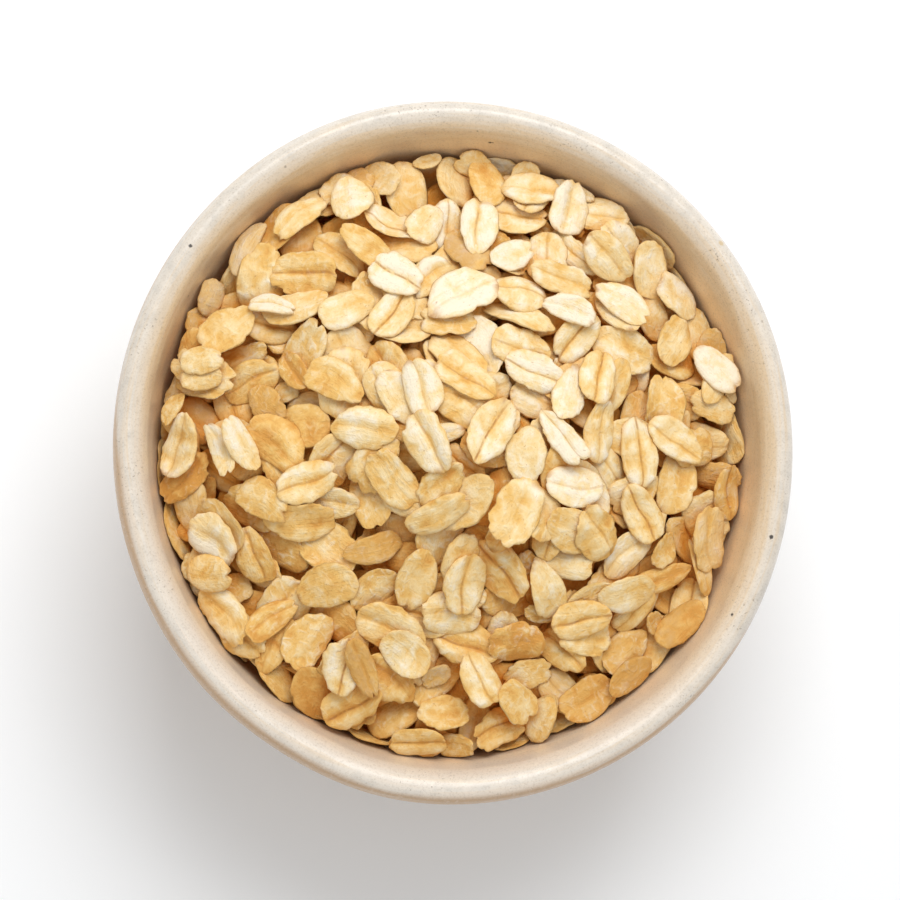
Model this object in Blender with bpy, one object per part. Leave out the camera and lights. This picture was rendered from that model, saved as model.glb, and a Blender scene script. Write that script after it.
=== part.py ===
"""A hand-thrown stoneware bowl filled with a heap of rolled oats.

The bowl is one turned body: a foot ring, a belly that curves up into a leaning wall, and a broad
rounded lip. Its plan is slightly oval, with the small dent and waviness of hand work. The oats
are one solid that fills the bowl and rises above its rim in an uneven dome of flakes.

Origin: the middle of the foot, on the surface the bowl stands on. +Z is up, +Y is the long way
of the oval. Everything is in metres.
"""

import math

import bmesh
import bpy
import numpy as np

# The bowl's driving sizes
HEIGHT = 0.058
RIM_RADIUS = 0.0625  # mean outer radius at the rim
OVAL = 0.017  # the rim is this share longer along Y and shorter along X
FOOT_RADIUS = 0.0315
FOOT_WIDTH = 0.0050
FOOT_HEIGHT = 0.0040
RECESS_HEIGHT = 0.0034  # of the hollow inside the foot ring
BASE_THICKNESS = 0.0050
BOTTOM_DISH = 0.0008  # how much lower the inside is at its middle
LIP_HEIGHT = 0.00325  # from the top of the wall to the crest of the lip
LIP_OUTER = 0.00230  # from the crest out to the outer face
LIP_INNER = 0.00390  # from the crest in to the inner face
INNER_ARC = 50.0  # degrees through which the inside turns from level, so that it still leans at the lip
OUTER_ARC = 62.0  # the same for the belly
BELLY_START = 8.0  # the direction, in degrees, in which the belly leaves the foot
INNER_FLAT_RADIUS = 0.0265  # where the inside's bottom turns up into the wall
EDGE_ROUND = 0.0010  # of the foot ring's two edges

# The waviness of a rim pulled by hand: (lobes, share of the radius, direction of a lobe)
WAVES = ((3, 0.0022, 15.0), (5, 0.0016, 33.0))
DENT_DEPTH = 0.0006
DENT_DIRECTION = 240.0
DENT_SPREAD = 14.0

# The oats
GAP = 0.00045  # between the flat faces of the oats and of the bowl
EDGE_DROP = 0.0100  # from the lip's crest down to where the oats meet the wall
HEAP_RISE = 0.0176  # from that edge up to the top of the dome
HEAP_CENTRE = (-0.0040, 0.0010)
CONE_SHARE = 0.42  # how much of the dome's shape is a cone, the rest is a round cap
FLAKE_LENGTH = 0.0095
FLAKE_TILT = 0.20  # steepest slope of one flake against the dome
FLAKE_STEP = 0.00055  # how far one flake lies above or below the next
SEED = 7

# Fineness of the faceted solids
ROUND_STEPS = 72
WALL_STEPS = 9
LIP_STEPS = 6
HEAP_RINGS = 18
FINE_STEPS = 200
SMOOTH_ANGLE = 40.0  # degrees: faces that meet at less are shaded as one

GLAZE_COLOUR = (0.66, 0.49, 0.35, 1.0)
OAT_COLOUR = (0.80, 0.60, 0.34, 1.0)


def clear_scene():
    """Removes every object of the scene."""
    for old in list(bpy.data.objects):
        bpy.data.objects.remove(old, do_unlink=True)


def material(name, colour, roughness):
    """A plain Principled material."""
    made = bpy.data.materials.new(name)
    made.use_nodes = True
    shader = made.node_tree.nodes["Principled BSDF"]
    shader.inputs["Base Color"].default_value = colour
    shader.inputs["Roughness"].default_value = roughness
    shader.inputs["Metallic"].default_value = 0.0
    return made


def leaning_arc(low, high, arc, steps, start=0.0):
    """Points of an ellipse that is level at low and has turned through arc degrees at high.

    start is the direction, in degrees, of the first point, and may be more than nought.
    """
    angles = np.linspace(math.radians(start), math.radians(arc), steps + 1)
    out = np.sin(angles) / math.sin(math.radians(arc))
    up = (1 - np.cos(angles)) / (1 - math.cos(math.radians(arc)))
    radius = low[0] + (high[0] - low[0]) * out
    height = low[1] + (high[1] - low[1]) * up
    return list(zip(radius.tolist(), height.tolist()))


def wall_top():
    """The height at which the wall ends and the lip begins."""
    return HEIGHT - LIP_HEIGHT


def inner_rim_radius():
    """The inside radius at the top of the wall."""
    return RIM_RADIUS - LIP_OUTER - LIP_INNER


def inner_profile(steps):
    """The inside's curve, from the edge of its bottom up to the top of the wall."""
    bottom = RECESS_HEIGHT + BASE_THICKNESS
    return leaning_arc((INNER_FLAT_RADIUS, bottom), (inner_rim_radius(), wall_top()), INNER_ARC, steps)


def bowl_profile():
    """The bowl's section as (radius, height), from the middle of the inside over the lip to the
    middle of the underside."""
    bottom = RECESS_HEIGHT + BASE_THICKNESS
    points = [(0.0, bottom - BOTTOM_DISH), (INNER_FLAT_RADIUS / 2, bottom - BOTTOM_DISH / 2)]
    points += inner_profile(WALL_STEPS)
    crest = RIM_RADIUS - LIP_OUTER
    for step in range(1, 2 * LIP_STEPS):
        turn = math.pi * step / (2 * LIP_STEPS)
        reach = LIP_INNER if turn < math.pi / 2 else LIP_OUTER
        points.append((crest - reach * math.cos(turn), wall_top() + LIP_HEIGHT * math.sin(turn)))
    outer = leaning_arc(
        (FOOT_RADIUS, FOOT_HEIGHT), (RIM_RADIUS, wall_top()), OUTER_ARC, WALL_STEPS, start=BELLY_START
    )
    points += reversed(outer)
    inner_foot = FOOT_RADIUS - FOOT_WIDTH
    points += [
        (FOOT_RADIUS, FOOT_HEIGHT),
        (FOOT_RADIUS, EDGE_ROUND),
        (FOOT_RADIUS - EDGE_ROUND, 0.0),
        (inner_foot + EDGE_ROUND, 0.0),
        (inner_foot, EDGE_ROUND),
        (inner_foot - EDGE_ROUND, RECESS_HEIGHT),
        (0.0, RECESS_HEIGHT),
    ]
    return points


def hand_made(x, y, height):
    """A round point moved to the bowl's oval and slightly wavy plan.

    The oval, the waves and the dent grow from nothing at the foot to their full size at the rim.
    """
    turn = np.arctan2(y, x)
    grown = np.clip(height / HEIGHT, 0.0, 1.0)
    swell = -OVAL * np.cos(2 * turn)
    for lobes, share, direction in WAVES:
        swell = swell + share * np.cos(lobes * (turn - math.radians(direction)))
    off = np.degrees(np.angle(np.exp(1j * (turn - math.radians(DENT_DIRECTION)))))
    swell = swell - DENT_DEPTH / RIM_RADIUS * np.exp(-((off / DENT_SPREAD) ** 2))
    return x * (1 + grown * swell), y * (1 + grown * swell)


def new_object(name, mesh, finish):
    """Links an object with one material, shaded smooth but for its true edges."""
    mesh.materials.append(finish)
    made = bpy.data.objects.new(name, mesh)
    bpy.context.scene.collection.objects.link(made)
    mesh.shade_smooth()
    mesh.set_sharp_from_angle(angle=math.radians(SMOOTH_ANGLE))
    return made


def build_bowl():
    """The bowl: its section spun about Z, then moved to the hand-made plan."""
    shape = bmesh.new()
    line = [shape.verts.new((radius, 0.0, height)) for radius, height in bowl_profile()]
    edges = [shape.edges.new(pair) for pair in zip(line, line[1:])]
    bmesh.ops.spin(
        shape,
        geom=line + edges,
        cent=(0, 0, 0),
        axis=(0, 0, 1),
        angle=2 * math.pi,
        steps=ROUND_STEPS,
    )
    bmesh.ops.remove_doubles(shape, verts=shape.verts, dist=1e-6)
    for vert in shape.verts:
        vert.co.x, vert.co.y = hand_made(vert.co.x, vert.co.y, vert.co.z)
    bmesh.ops.recalc_face_normals(shape, faces=shape.faces)
    mesh = bpy.data.meshes.new("bowl")
    shape.to_mesh(mesh)
    shape.free()
    return new_object("bowl", mesh, material("glazed_stoneware", GLAZE_COLOUR, 0.35))


def ring_grid(rings):
    """A disc of near-even triangles: ring k has 6k points, and one point is the middle.

    Returns each point's share of the radius, its direction, and the triangles, which turn
    anticlockwise.
    """
    share = [0.0]
    turn = [0.0]
    for ring in range(1, rings + 1):
        share += [ring / rings] * (6 * ring)
        turn += [2 * math.pi * step / (6 * ring) for step in range(6 * ring)]
    first = [0] + [1 + 3 * ring * (ring - 1) for ring in range(1, rings + 1)]
    triangles = []
    for ring in range(1, rings + 1):
        count = 6 * ring
        inner = max(count - 6, 1)
        for sector in range(6):
            for step in range(ring):
                here = first[ring] + (sector * ring + step) % count
                after = first[ring] + (sector * ring + step + 1) % count
                below = first[ring - 1] + (sector * (ring - 1) + step) % inner
                triangles.append((here, after, below))
                if step < ring - 1:
                    beside = first[ring - 1] + (sector * (ring - 1) + step + 1) % inner
                    triangles.append((after, beside, below))
    return np.array(share), np.array(turn), np.array(triangles)


def dome(share):
    """The heap's height above its edge, for each share of the radius: a cone and a round cap mixed."""
    cone = 1 - share
    cap = 1 - share**2
    return HEAP_RISE * (CONE_SHARE * cone + (1 - CONE_SHARE) * cap)


def flake_relief(x, y, radius):
    """The unevenness of the flakes that the heap's outline shows.

    Every flake is a small tilted plate round its own middle, and a point belongs to the plate
    whose middle is nearest. The middles are a square grid, each moved at random.
    """
    draw = np.random.default_rng(SEED)
    cells = int(2 * radius / FLAKE_LENGTH) + 2
    line = (np.arange(cells) - (cells - 1) / 2) * FLAKE_LENGTH
    middles = np.stack(np.meshgrid(line, line), -1).reshape(-1, 2)
    middles = middles + draw.uniform(-0.4, 0.4, middles.shape) * FLAKE_LENGTH
    slopes = draw.uniform(-FLAKE_TILT, FLAKE_TILT, middles.shape)
    steps = draw.uniform(-FLAKE_STEP, FLAKE_STEP, len(middles))
    away = np.stack([x, y], -1)[:, None, :] - middles[None]
    nearest = np.argmin((away**2).sum(-1), axis=1)
    rows = np.arange(len(nearest))
    return (away[rows, nearest] * slopes[nearest]).sum(-1) + steps[nearest]


def oats_side():
    """The oats' side and underside as (radius, height): the bowl's inside, moved in by GAP, from
    the middle up to the oats' edge."""
    bottom = RECESS_HEIGHT + BASE_THICKNESS
    fine = np.array([(0.0, bottom)] + inner_profile(FINE_STEPS))
    along = np.gradient(fine, axis=0)
    along /= np.linalg.norm(along, axis=1)[:, None]
    moved = fine + GAP * np.stack([-along[:, 1], along[:, 0]], 1)
    moved[0] = (0.0, bottom + GAP)
    return moved[moved[:, 1] <= HEIGHT - EDGE_DROP]


def build_oats():
    """The oats: an upper and a lower sheet on one ring grid, which share their outer ring."""
    share, turn, triangles = ring_grid(HEAP_RINGS)
    side = oats_side()
    length = np.concatenate([[0.0], np.cumsum(np.linalg.norm(np.diff(side, axis=0), axis=1))])
    under_radius = np.interp(share * length[-1], length, side[:, 0])
    under_height = np.interp(share * length[-1], length, side[:, 1])
    edge_radius, edge_height = side[-1]
    x, y = hand_made(under_radius * np.cos(turn), under_radius * np.sin(turn), under_height)
    lower = np.stack([x, y, under_height], 1)

    lean = 1 - share**2
    flat_x = edge_radius * share * np.cos(turn) + HEAP_CENTRE[0] * lean
    flat_y = edge_radius * share * np.sin(turn) + HEAP_CENTRE[1] * lean
    x, y = hand_made(flat_x, flat_y, np.full_like(share, edge_height))
    held = np.clip((1 - share) * HEAP_RINGS / 2, 0.0, 1.0)
    top = edge_height + dome(share) + held * flake_relief(x, y, edge_radius)
    upper = np.stack([x, y, top], 1)

    inside = share < 1
    number = np.cumsum(inside) - 1 + len(upper)
    lower_index = np.where(inside, number, np.arange(len(upper)))
    points = np.concatenate([upper, lower[inside]])
    faces = triangles.tolist() + lower_index[triangles[:, ::-1]].tolist()
    mesh = bpy.data.meshes.new("oats")
    mesh.from_pydata(points.tolist(), [], faces)
    return new_object("oats", mesh, material("oat_flakes", OAT_COLOUR, 0.85))


clear_scene()
build_bowl()
build_oats()
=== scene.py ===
"""The looks of a small stoneware bowl heaped with rolled oats.

The bowl is one glazed surface turned from a profile. The oats are single flakes, each with its own
outline, crease, bend and colour, that are laid down one after another: every flake comes to rest
on three points of what lies below it, so they lean and overlap as poured flakes do.

Lengths inside the classes are millimetres, and a mesh is scaled to metres as it is made.
"""

import logging
import math
from dataclasses import dataclass, field
from enum import Enum

import bpy
import numpy as np
from mathutils import Matrix, Vector


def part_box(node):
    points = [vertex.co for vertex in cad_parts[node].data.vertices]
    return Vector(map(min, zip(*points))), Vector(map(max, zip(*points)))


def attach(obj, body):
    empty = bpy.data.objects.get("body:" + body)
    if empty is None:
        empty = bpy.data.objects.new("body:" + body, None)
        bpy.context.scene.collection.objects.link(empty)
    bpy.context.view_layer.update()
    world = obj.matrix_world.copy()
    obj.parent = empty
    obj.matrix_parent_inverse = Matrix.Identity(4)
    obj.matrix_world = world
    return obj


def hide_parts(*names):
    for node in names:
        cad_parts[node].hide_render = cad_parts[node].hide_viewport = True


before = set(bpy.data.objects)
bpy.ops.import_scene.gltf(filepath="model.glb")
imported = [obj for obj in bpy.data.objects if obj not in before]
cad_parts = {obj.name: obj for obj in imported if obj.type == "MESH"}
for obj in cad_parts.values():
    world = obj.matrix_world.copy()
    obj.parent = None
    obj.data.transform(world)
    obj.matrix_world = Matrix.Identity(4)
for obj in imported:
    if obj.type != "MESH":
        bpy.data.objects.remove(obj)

Colour = tuple[float, float, float]
Socket = bpy.types.NodeSocket

LOG = logging.getLogger("bowl_of_oats")
MM = 0.001


# ------------------------------------------------------------------------------ noise

WORD = np.uint64(2**32 - 1)
AXIS_STEPS = (0x9E3779B1, 0x85EBCA77, 0xC2B2AE3D)
SEED_STEP = 2654435761
FOLDS = ((15, 0x2C1B3C6D), (12, 0x297A2D39))
FAR_CORNER = 4096.0  # lattice steps by which places are moved, so that none is negative


def scrambled(x: np.ndarray, y: np.ndarray, z: np.ndarray, seed: int) -> np.ndarray:
    """A number from -1 to 1 for each whole-number point, mixed by multiplying and folding bits.

    Args:
        x: Whole-number places along the first axis.
        y: Whole-number places along the second axis.
        z: Whole-number places along the third axis.
        seed: Which of the endless fields of numbers to read.

    Returns:
        An array of the common shape of x, y and z.
    """
    mixed = np.uint64(seed * SEED_STEP % 2**32)
    for axis, step in zip((x, y, z), AXIS_STEPS):
        mixed = mixed + axis.astype(np.uint64) * np.uint64(step)
    mixed = mixed & WORD
    for shift, factor in FOLDS:
        mixed = ((mixed ^ (mixed >> np.uint64(shift))) * np.uint64(factor)) & WORD
    mixed = mixed ^ (mixed >> np.uint64(15))
    return mixed.astype(np.float64) / 2**31 - 1.0


def smooth_noise(x: np.ndarray, y: np.ndarray, z: np.ndarray, seed: int = 0) -> np.ndarray:
    """Value noise: the scrambled numbers of the eight lattice corners round a point, mixed by the
    smooth step 3t^2 - 2t^3 of the point's place between them.

    Args:
        x: Places along the first axis, one lattice step to a unit.
        y: Places along the second axis.
        z: Places along the third axis.
        seed: Which field of numbers to read.

    Returns:
        Values from -1 to 1.
    """
    places = np.broadcast_arrays(x + FAR_CORNER, y + FAR_CORNER, z + FAR_CORNER)
    floors = [np.floor(axis) for axis in places]
    parts = [axis - floor for axis, floor in zip(places, floors)]
    parts = [t * t * (3 - 2 * t) for t in parts]
    low = [floor.astype(np.int64) for floor in floors]
    total = np.zeros(places[0].shape)
    for corner in range(8):
        step = (corner & 1, corner >> 1 & 1, corner >> 2 & 1)
        share = np.ones(total.shape)
        for axis in range(3):
            share = share * (parts[axis] if step[axis] else 1 - parts[axis])
        total += share * scrambled(low[0] + step[0], low[1] + step[1], low[2] + step[2], seed)
    return total


# ------------------------------------------------------------------------------ meshes


def ring_squares(rings: int, steps: int) -> np.ndarray:
    """The squares between rings of points, where point j of ring k has the number k * steps + j.

    Args:
        rings: How many rings there are.
        steps: How many points each has.

    Returns:
        Rows of four point numbers.
    """
    row = np.arange(rings - 1)[:, None] * steps
    here = np.arange(steps)[None]
    after = (here + 1) % steps
    squares = np.stack([row + here, row + steps + here, row + steps + after, row + after], 2)
    return squares.reshape(-1, 4)


def fan(centre: int, first: int, steps: int, under: bool = False) -> np.ndarray:
    """The triangles from a middle point to the ring round it.

    Args:
        centre: The middle point's number.
        first: The number of the ring's first point.
        steps: How many points the ring has.
        under: Whether the fan faces down.

    Returns:
        Rows of three point numbers.
    """
    here = first + np.arange(steps)
    after = np.roll(here, -1)
    pair = (after, here) if under else (here, after)
    return np.stack([np.full(steps, centre), *pair], 1)


def halved(squares: np.ndarray) -> np.ndarray:
    """Every square's first triangle, and then every square's second."""
    return np.concatenate([squares[:, [0, 1, 2]], squares[:, [0, 2, 3]]])


def mesh_object(
    name: str, points: np.ndarray, faces: np.ndarray, body: str, finish: bpy.types.Material
) -> bpy.types.Object:
    """Makes a smooth-shaded piece from points in millimetres and rides it on a body.

    Args:
        name: The piece's name.
        points: Rows of x, y, z in millimetres.
        faces: Rows of vertex numbers, four to a face, or three.
        body: The body it rides on.
        finish: Its material.

    Returns:
        The new object, at the origin.
    """
    mesh = bpy.data.meshes.new(name)
    corners = faces.shape[1]
    mesh.vertices.add(len(points))
    mesh.vertices.foreach_set("co", (points * MM).astype(np.float32).ravel())
    mesh.loops.add(faces.size)
    mesh.loops.foreach_set("vertex_index", faces.astype(np.int32).ravel())
    mesh.polygons.add(len(faces))
    mesh.polygons.foreach_set("loop_start", np.arange(0, faces.size, corners, dtype=np.int32))
    mesh.update(calc_edges=True)
    mesh.shade_smooth()
    mesh.materials.append(finish)
    made = bpy.data.objects.new(name, mesh)
    bpy.context.scene.collection.objects.link(made)
    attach(made, body)
    LOG.info("%s: %d faces", name, len(faces))
    return made


def add_uv(mesh: bpy.types.Mesh, name: str, places: np.ndarray) -> None:
    """Adds a UV map with one place for each face corner.

    Args:
        mesh: The mesh that gets the map.
        name: The map's name.
        places: Rows of u, v in the order of the face corners.
    """
    layer = mesh.uv_layers.new(name=name, do_init=False)
    layer.uv.foreach_set("vector", places.astype(np.float32).ravel())


def add_number(mesh: bpy.types.Mesh, name: str, values: np.ndarray) -> None:
    """Adds an attribute with one number for each vertex.

    Args:
        mesh: The mesh that gets the attribute.
        name: The attribute's name.
        values: One number for each vertex.
    """
    made = mesh.attributes.new(name, "FLOAT", "POINT")
    made.data.foreach_set("value", values.astype(np.float32).ravel())


# ------------------------------------------------------------------------------ shader nodes


def tint(red: float, green: float, blue: float) -> tuple[float, float, float, float]:
    """A display colour, 0 to 255 a channel, as the linear numbers that shaders take."""
    shares = [channel / 255 for channel in (red, green, blue)]
    return (*[c / 12.92 if c <= 0.04045 else ((c + 0.055) / 1.055) ** 2.4 for c in shares], 1.0)


class NodeSketch:
    """Short ways to add and join shader nodes in one material. Where a method takes a value, it is
    a socket to link, a plain number, or a display colour as three numbers."""

    def __init__(self, name: str) -> None:
        """Starts a material with a Principled shader.

        Args:
            name: The material's name.
        """
        self.material = bpy.data.materials.new(name)
        self.material.use_nodes = True
        self.tree = self.material.node_tree
        self.shader = self.tree.nodes["Principled BSDF"]

    def node(self, kind: str, **settings: object) -> bpy.types.Node:
        """Adds a node and sets its properties.

        Args:
            kind: The node's type, without its ShaderNode prefix.
            **settings: Properties of the node by name.

        Returns:
            The new node.
        """
        made = self.tree.nodes.new("ShaderNode" + kind)
        for name, value in settings.items():
            setattr(made, name, value)
        return made

    def feed(self, socket: Socket, value: object) -> None:
        """Links a socket into an input, or sets the input to a plain value."""
        if isinstance(value, Socket):
            self.tree.links.new(value, socket)
        else:
            socket.default_value = tint(*value) if isinstance(value, tuple) else value

    def math(self, operation: str, a: object, b: object = 0.0) -> Socket:
        """The result of a Math node on a and b."""
        made = self.node("Math", operation=operation)
        self.feed(made.inputs[0], a)
        self.feed(made.inputs[1], b)
        return made.outputs[0]

    def plus(self, first: object, *others: object) -> Socket:
        """The sum of the values."""
        for other in others:
            first = self.math("ADD", first, other)
        return first

    def times(self, a: object, b: object) -> Socket:
        """The product of two values."""
        return self.math("MULTIPLY", a, b)

    def centred(self, value: object, span: float) -> Socket:
        """A 0..1 value carried to -span/2..span/2."""
        return self.times(self.math("SUBTRACT", value, 0.5), span)

    def spread(
        self, value: object, low: float, high: float, to_low: float = 0.0, to_high: float = 1.0
    ) -> Socket:
        """The value carried from low..high to to_low..to_high in a smooth step, and held at its ends."""
        made = self.node("MapRange", interpolation_type="SMOOTHSTEP")
        for place, given in enumerate((value, low, high, to_low, to_high)):
            self.feed(made.inputs[place], given)
        return made.outputs[0]

    def join(self, x: object, y: object, z: object) -> Socket:
        """A vector made of three numbers."""
        made = self.node("CombineXYZ")
        for place, given in enumerate((x, y, z)):
            self.feed(made.inputs[place], given)
        return made.outputs[0]

    def split(self, vector: Socket) -> tuple[Socket, Socket, Socket]:
        """The three numbers of a vector."""
        made = self.node("SeparateXYZ")
        self.feed(made.inputs[0], vector)
        return tuple(made.outputs)

    def noise(
        self, place: Socket, scale: float, detail: float = 2.0, rough: float = 0.5, bent: float = 0.0
    ) -> Socket:
        """The 0..1 value of a Noise texture at a place."""
        made = self.node("TexNoise")
        self.feed(made.inputs["Vector"], place)
        for name, value in (("Scale", scale), ("Detail", detail), ("Roughness", rough), ("Distortion", bent)):
            made.inputs[name].default_value = value
        return made.outputs[0]

    def blend(self, share: object, a: object, b: object, kind: str = "MIX") -> Socket:
        """Colour a turned towards colour b by a share, with a Mix node of the kind named."""
        made = self.node("Mix", data_type="RGBA", blend_type=kind, clamp_factor=True)
        self.feed(made.inputs[0], share)
        self.feed(made.inputs[6], a)
        self.feed(made.inputs[7], b)
        return made.outputs[2]

    def ramp(self, value: Socket, stops: list[tuple[float, Colour]]) -> Socket:
        """The colour of a ramp at a value, its stops given as a place and a display colour."""
        made = self.node("ValToRGB")
        ramp = made.color_ramp
        while len(ramp.elements) < len(stops):
            ramp.elements.new(0.5)
        for element, (place, colour) in zip(ramp.elements, stops):
            element.position = place
            element.color = tint(*colour)
        self.feed(made.inputs[0], value)
        return made.outputs[0]

    def attribute(self, name: str) -> Socket:
        """The number that a vertex attribute holds."""
        return self.node("Attribute", attribute_name=name).outputs["Fac"]

    def bump(self, height: Socket, distance: float, strength: float) -> Socket:
        """A normal tilted by a height field of 0..1 that is distance metres deep."""
        made = self.node("Bump")
        made.inputs["Strength"].default_value = strength
        made.inputs["Distance"].default_value = distance
        self.feed(made.inputs["Height"], height)
        return made.outputs[0]


# ------------------------------------------------------------------------------ the bowl


@dataclass(frozen=True)
class IronSpeck:
    """A spot in the glaze: its place and radius in millimetres, its strength, and whether it is
    rust-coloured or as dark as iron."""

    place: tuple[float, float, float]
    radius: float
    strength: float = 0.95
    rusty: bool = False


@dataclass(frozen=True)
class StonewareGlaze:
    """A satin glaze over pale clay: tan on the walls, a cool cream where it runs thin on the lip."""

    tan: Colour = (220, 193, 155)
    sand: Colour = (226, 204, 174)
    # painted bounce light: the lighter colour of the inner wall low down towards the oats
    light: Colour = (246, 215, 172)
    # painted light: the pale pink of the glaze where it faces the key light
    lit_rose: Colour = (224, 211, 196)
    cream: Colour = (224, 215, 202)
    grey: Colour = (198, 193, 184)
    # painted shade: the darker colour of the outer flank on the side away from the key light
    flank_shade_brown: Colour = (196, 161, 122)
    # partly stained, partly painted contact shade: the wall right beside the oats
    stain_and_contact_shade: Colour = (166, 120, 76)  # beside the oats
    wipe: Colour = (236, 222, 204)  # light strokes in the turning direction
    fleck: Colour = (116, 98, 80)
    dust: Colour = (150, 130, 106)
    milk: Colour = (236, 224, 206)
    clay: Colour = (205, 178, 148)
    speck: Colour = (30, 17, 9)
    rust: Colour = (205, 172, 108)
    roughness: float = 0.38
    coat: float = 0.45
    coat_roughness: float = 0.24
    clay_roughness: float = 0.85
    bare_height: tuple[float, float] = (0.0030, 0.0040)  # metres, over which the glaze begins
    relief: float = 0.00025  # metres

    def material(self, specks: list[IronSpeck]) -> bpy.types.Material:
        """Makes the glaze.

        Bands follow the distance in millimetres from the lip's crest, negative on the inside, their
        borders moved by noise. Streaks run in the turning direction: their noise reads the direction
        round the axis and that distance. Light and shade are painted in by direction: where the inner
        wall faces the key light, on the lower left, it is painted more pink as a painted lit sheen; the
        outer flank there is painted darker as painted shade and more pink on the lamp's side as painted
        light, and the pale band reaches further out on the lamp's side. The wall is painted lighter
        towards the oats as painted bounce light, and darker right beside them, partly stained and partly
        as painted contact shade.

        Args:
            specks: The iron specks.

        Returns:
            The material.
        """
        s = NodeSketch("stoneware_glaze")
        place = s.node("TexCoord").outputs["Object"]
        x, y, z = s.split(place)
        away = s.attribute("from_crest")
        broad = s.noise(place, 24.0, 2.0)
        soft = s.noise(place, 120.0, 4.0, 0.6)
        blots = s.noise(place, 330.0, 4.0, 0.6, 0.3)
        stipple = s.noise(place, 1100.0, 3.0, 0.6)
        grain = s.noise(place, 2800.0, 2.0, 0.7)
        way = s.node("VectorMath", operation="NORMALIZE")
        s.feed(way.inputs[0], s.join(x, y, 0.0))
        way_x, way_y, _ = s.split(way.outputs["Vector"])
        lane = s.join(s.times(way_x, 2.4), s.times(way_y, 2.4), s.times(away, 0.85))
        streaks = s.noise(lane, 1.0, 4.0, 0.6, 0.5)
        # front grows towards the lower left, the side away from the key light; the painted light and shade
        # below follow it
        front = s.plus(s.times(x, -4.0), s.times(y, -15.5), s.spread(broad, 0.2, 0.8, -0.35, 0.35))

        walls = s.blend(s.spread(streaks, 0.36, 0.64), self.tan, self.sand)
        # painted bounce light: the wall is painted lighter low down towards the oats
        walls = s.blend(s.spread(away, -11.0, -4.5, 0.9, 0.0), walls, self.light)
        # painted lit sheen: the inner wall on the lower left, which faces the key light, is painted more pink
        painted_lit_sheen = s.times(s.spread(front, -0.3, 0.6, 0.0, 0.9), s.spread(away, -11.0, -6.0, 0.45, 1.0))
        walls = s.blend(painted_lit_sheen, walls, self.lit_rose)
        # partly stained, partly painted contact shade: darker right beside the oats
        walls = s.blend(s.spread(away, -15.0, -10.5, 0.45, 0.0), walls, self.stain_and_contact_shade)
        # painted light and shade: the outer flank is more pink on the side towards the key light and darker
        # on the far side
        flank = s.blend(s.spread(front, -0.7, 0.5), self.lit_rose, self.flank_shade_brown)
        walls = s.blend(s.spread(away, 0.5, 2.0), walls, flank)

        wander = s.plus(away, s.spread(streaks, 0.2, 0.8, -1.3, 1.3), s.spread(broad, 0.2, 0.8, -0.8, 0.8))
        # painted light and shade: the pale band reaches further out over the lip on the side towards the key
        # light, and less far on the far side
        outer = s.plus(wander, s.spread(front, -0.6, 0.6, -2.6, 0.8))
        band = s.times(s.spread(wander, -3.3, -0.1), s.spread(outer, 0.6, 2.4, 1.0, 0.0))
        pale = s.blend(s.spread(blots, 0.40, 0.70, 0.0, 0.55), self.cream, self.grey)
        pale = s.blend(s.spread(streaks, 0.48, 0.66, 0.0, 0.50), pale, self.tan)
        colour = s.blend(s.times(band, 0.95), walls, pale)
        colour = s.blend(s.spread(streaks, 0.30, 0.42, 0.22, 0.0), colour, self.wipe)

        flecks = s.spread(s.noise(place, 2100.0, 1.0, 0.5), 0.66, 0.74, 0.0, 0.8)
        patches = s.spread(s.noise(place, 70.0, 2.0), 0.46, 0.64, 0.06, 0.7)
        near = s.spread(s.math("ABSOLUTE", wander), 1.5, 8.0, 1.0, 0.4)
        colour = s.blend(s.times(s.times(flecks, patches), near), colour, self.fleck)
        colour = s.blend(s.spread(grain, 0.46, 0.78, 0.0, 0.34), colour, self.dust)
        colour = s.blend(s.spread(stipple, 0.50, 0.80, 0.0, 0.30), colour, self.milk)
        for speck in specks:
            iron = self.rust if speck.rusty else self.speck
            colour = s.blend(self.inside(s, speck, place, stipple), colour, iron)

        level = s.plus(z, s.spread(soft, 0.2, 0.8, -0.0007, 0.0007))
        bare = s.spread(level, *self.bare_height, 1.0, 0.0)
        s.feed(s.shader.inputs["Base Color"], s.blend(bare, colour, self.clay))
        rough = s.spread(blots, 0.3, 0.7, self.roughness - 0.05, self.roughness + 0.10)
        s.feed(s.shader.inputs["Roughness"], s.math("MAXIMUM", rough, s.times(bare, self.clay_roughness)))
        s.shader.inputs["Specular IOR Level"].default_value = 0.5
        s.shader.inputs["Coat Weight"].default_value = self.coat
        s.shader.inputs["Coat Roughness"].default_value = self.coat_roughness
        height = s.plus(s.times(blots, 0.65), s.times(stipple, 0.35))
        s.feed(s.shader.inputs["Normal"], s.bump(height, self.relief, 0.6))
        return s.material

    def inside(self, s: NodeSketch, speck: IronSpeck, place: Socket, stipple: Socket) -> Socket:
        """How far a place lies inside a speck, a small ball with a soft and uneven border.

        Args:
            s: The material's sketch.
            speck: The speck.
            place: The place on the bowl, in metres.
            stipple: The noise that makes the border uneven.

        Returns:
            The speck's strength in its middle, down to nought outside.
        """
        ball = s.node("VectorMath", operation="DISTANCE")
        s.feed(ball.inputs[0], place)
        ball.inputs[1].default_value = [part * MM for part in speck.place]
        reach = speck.radius * MM
        span = s.plus(ball.outputs["Value"], s.spread(stipple, 0.2, 0.8, -0.4 * reach, 0.4 * reach))
        return s.spread(span, reach * 0.45, reach, speck.strength, 0.0)


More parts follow.
